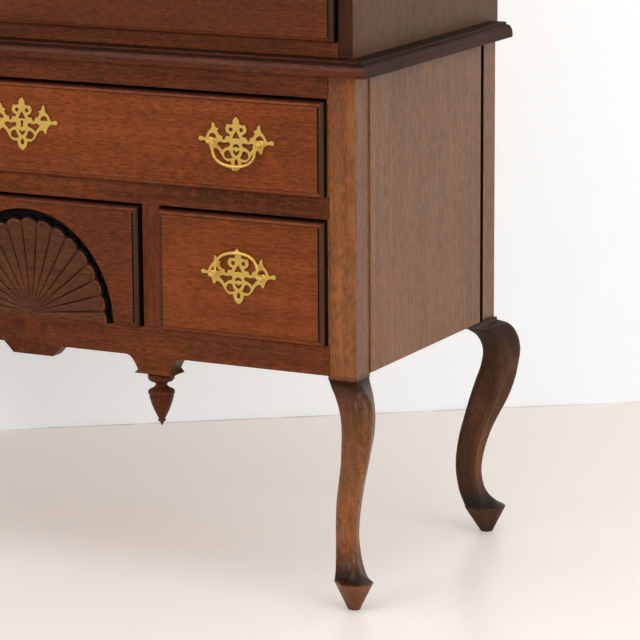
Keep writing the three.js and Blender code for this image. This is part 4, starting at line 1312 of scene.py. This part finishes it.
    def plate(self, heart):
        """The pierced plate as a filled outline with holes, its face at y 0 and its back behind it."""
        right = self.edge
        left = [(-x, z, sharp) for x, z, sharp in reversed(self.edge[1:-1])]
        loops = [right + left]
        for hole in self.holes:
            loops += [hole, [(-x, z, sharp) for x, z, sharp in reversed(hole)]]
        loops += [*self.middle_holes, heart]
        curve = bpy.data.curves.new("plate", "CURVE")
        curve.dimensions = "2D"
        curve.fill_mode = "BOTH"
        curve.resolution_u = 5
        edge = 0.22 * MM
        curve.extrude = self.sizes.plate_thickness / 2 - edge
        curve.bevel_depth = edge
        curve.bevel_resolution = 1
        curve.offset = -edge
        for loop in loops:
            spline = curve.splines.new("BEZIER")
            spline.use_cyclic_u = True
            spline.bezier_points.add(len(loop) - 1)
            for point, (x, z, sharp) in zip(spline.bezier_points, loop):
                point.co = (x * MM, z * MM, 0.0)
                point.handle_left_type = point.handle_right_type = "VECTOR" if sharp else "AUTO"
        mesh = mesh_of(curve)
        bm = blank()
        bm.from_mesh(mesh)
        bmesh.ops.remove_doubles(bm, verts=bm.verts, dist=0.002 * MM)
        bmesh.ops.transform(bm, matrix=Matrix.Rotation(math.pi / 2, 4, "X"), verts=bm.verts)
        bmesh.ops.translate(bm, vec=(0.0, self.sizes.plate_thickness / 2, 0.0), verts=bm.verts)
        bmesh.ops.recalc_face_normals(bm, faces=bm.faces)
        bm.normal_update()
        # The plate's edge walls get painted shade, a dark outline round the plate and its piercings
        mark_faces(bm, [face for face in bm.faces if abs(face.normal.y) < 0.3], age=1.0)
        bm.to_mesh(mesh)
        bm.free()
        return mesh

    def post(self):
        """A ball-headed post with a stepped collar on the plate, turned about Y with its ball at the origin."""
        foot = self.sizes.standoff
        ball = self.sizes.ball_radius
        neck = 1.9 * MM
        start = 180 - math.degrees(math.asin(neck / ball))
        outline = [
            (foot, 0.0), (foot, 4.4 * MM), (foot - 0.7 * MM, 4.4 * MM), (foot - 1.0 * MM, 3.9 * MM),
            (foot - 1.1 * MM, 3.2 * MM), (foot - 1.7 * MM, 2.5 * MM), (foot - 2.6 * MM, neck),
        ]
        outline += [(-x, r) for x, r in arc((0, 0), (ball, ball), start, 0, 14)]
        bm = turned([(r, y) for y, r in outline], (0.0, 0.0, 0.0), (0.0, 1.0, 0.0), 24)
        mesh = bpy.data.meshes.new("post")
        bm.to_mesh(mesh)
        bm.free()
        return mesh

    def bail(self):
        """A swan-neck bail: a wire of changing thickness with a flat nub under its grip."""
        wire = self.sizes.wire_radius
        half = self.sizes.post_pitch / 2
        drop = self.sizes.bail_drop
        inner = half - 5.3 * MM
        lean = 0.4 * MM
        right = [
            (half - 0.4 * MM, 0.0, 0.62), (half - 2.6 * MM, 0.0, 0.66), (inner + 0.9 * MM, -0.3 * MM, 0.85),
            (inner - 0.7 * MM, -0.13 * drop, 0.98), (inner - 0.1 * MM, -0.33 * drop, 1.0),
            (inner * 0.915, -0.62 * drop, 1.0), (inner * 0.68, -0.85 * drop, 1.02),
            (inner * 0.36, -0.965 * drop, 1.12), (inner * 0.12, -0.998 * drop, 1.3),
        ]
        points = right + [(-x, z, r) for x, z, r in reversed(right)]
        curve = bpy.data.curves.new("bail", "CURVE")
        curve.dimensions = "3D"
        curve.bevel_depth = wire
        curve.bevel_resolution = 3
        curve.resolution_u = 6
        curve.use_fill_caps = True
        spline = curve.splines.new("BEZIER")
        spline.bezier_points.add(len(points) - 1)
        for point, (x, z, radius) in zip(spline.bezier_points, points):
            point.co = (x, lean * min(1.0, -z / (0.33 * drop)), z)
            point.radius = radius
            point.handle_left_type = point.handle_right_type = "AUTO"
        mesh = mesh_of(curve)
        bm = blank()
        bm.from_mesh(mesh)
        nub = bmesh.ops.create_icosphere(bm, subdivisions=3, radius=1.0)["verts"]
        bmesh.ops.scale(bm, vec=self.nub_half, verts=nub)
        for vert in nub:
            vert.co.x *= 1.0 - 0.55 * max(0.0, -vert.co.z / self.nub_half[2])
        bmesh.ops.translate(bm, vec=(0.0, lean, -drop - 1.7 * MM), verts=nub)
        bmesh.ops.remove_doubles(bm, verts=bm.verts, dist=0.002 * MM)
        bmesh.ops.recalc_face_normals(bm, faces=bm.faces)
        bm.to_mesh(mesh)
        bm.free()
        return mesh


OPERATORS = (
    HIGHBOY_OT_stage, HIGHBOY_OT_case, HIGHBOY_OT_legs, HIGHBOY_OT_apron, HIGHBOY_OT_mouldings,
    HIGHBOY_OT_drawers, HIGHBOY_OT_shell, HIGHBOY_OT_pulls,
)


class HIGHBOY_PT_pieces(bpy.types.Panel):
    """Lists the highboy's pieces, sizes and finishes"""

    bl_idname = "HIGHBOY_PT_pieces"
    bl_label = "Highboy"
    bl_space_type = "VIEW_3D"
    bl_region_type = "UI"
    bl_category = "Highboy"

    def draw(self, context):
        for operator in OPERATORS:
            self.layout.operator(operator.bl_idname)
        for group in (context.scene.highboy_sizes, context.scene.highboy_finish):
            for name in group.__annotations__:
                self.layout.prop(group, name)


CLASSES = (HighboySizes, HighboyFinish, *OPERATORS, HIGHBOY_PT_pieces)


def register():
    for cls in CLASSES:
        bpy.utils.register_class(cls)
    bpy.types.Scene.highboy_sizes = PointerProperty(type=HighboySizes)
    bpy.types.Scene.highboy_finish = PointerProperty(type=HighboyFinish)


def unregister():
    del bpy.types.Scene.highboy_finish
    del bpy.types.Scene.highboy_sizes
    for cls in reversed(CLASSES):
        bpy.utils.unregister_class(cls)


def main():
    """Builds everything in order."""
    register()
    for operator in OPERATORS:
        group, name = operator.bl_idname.split(".")
        getattr(getattr(bpy.ops, group), name)()


if __name__ == "__main__":
    main()
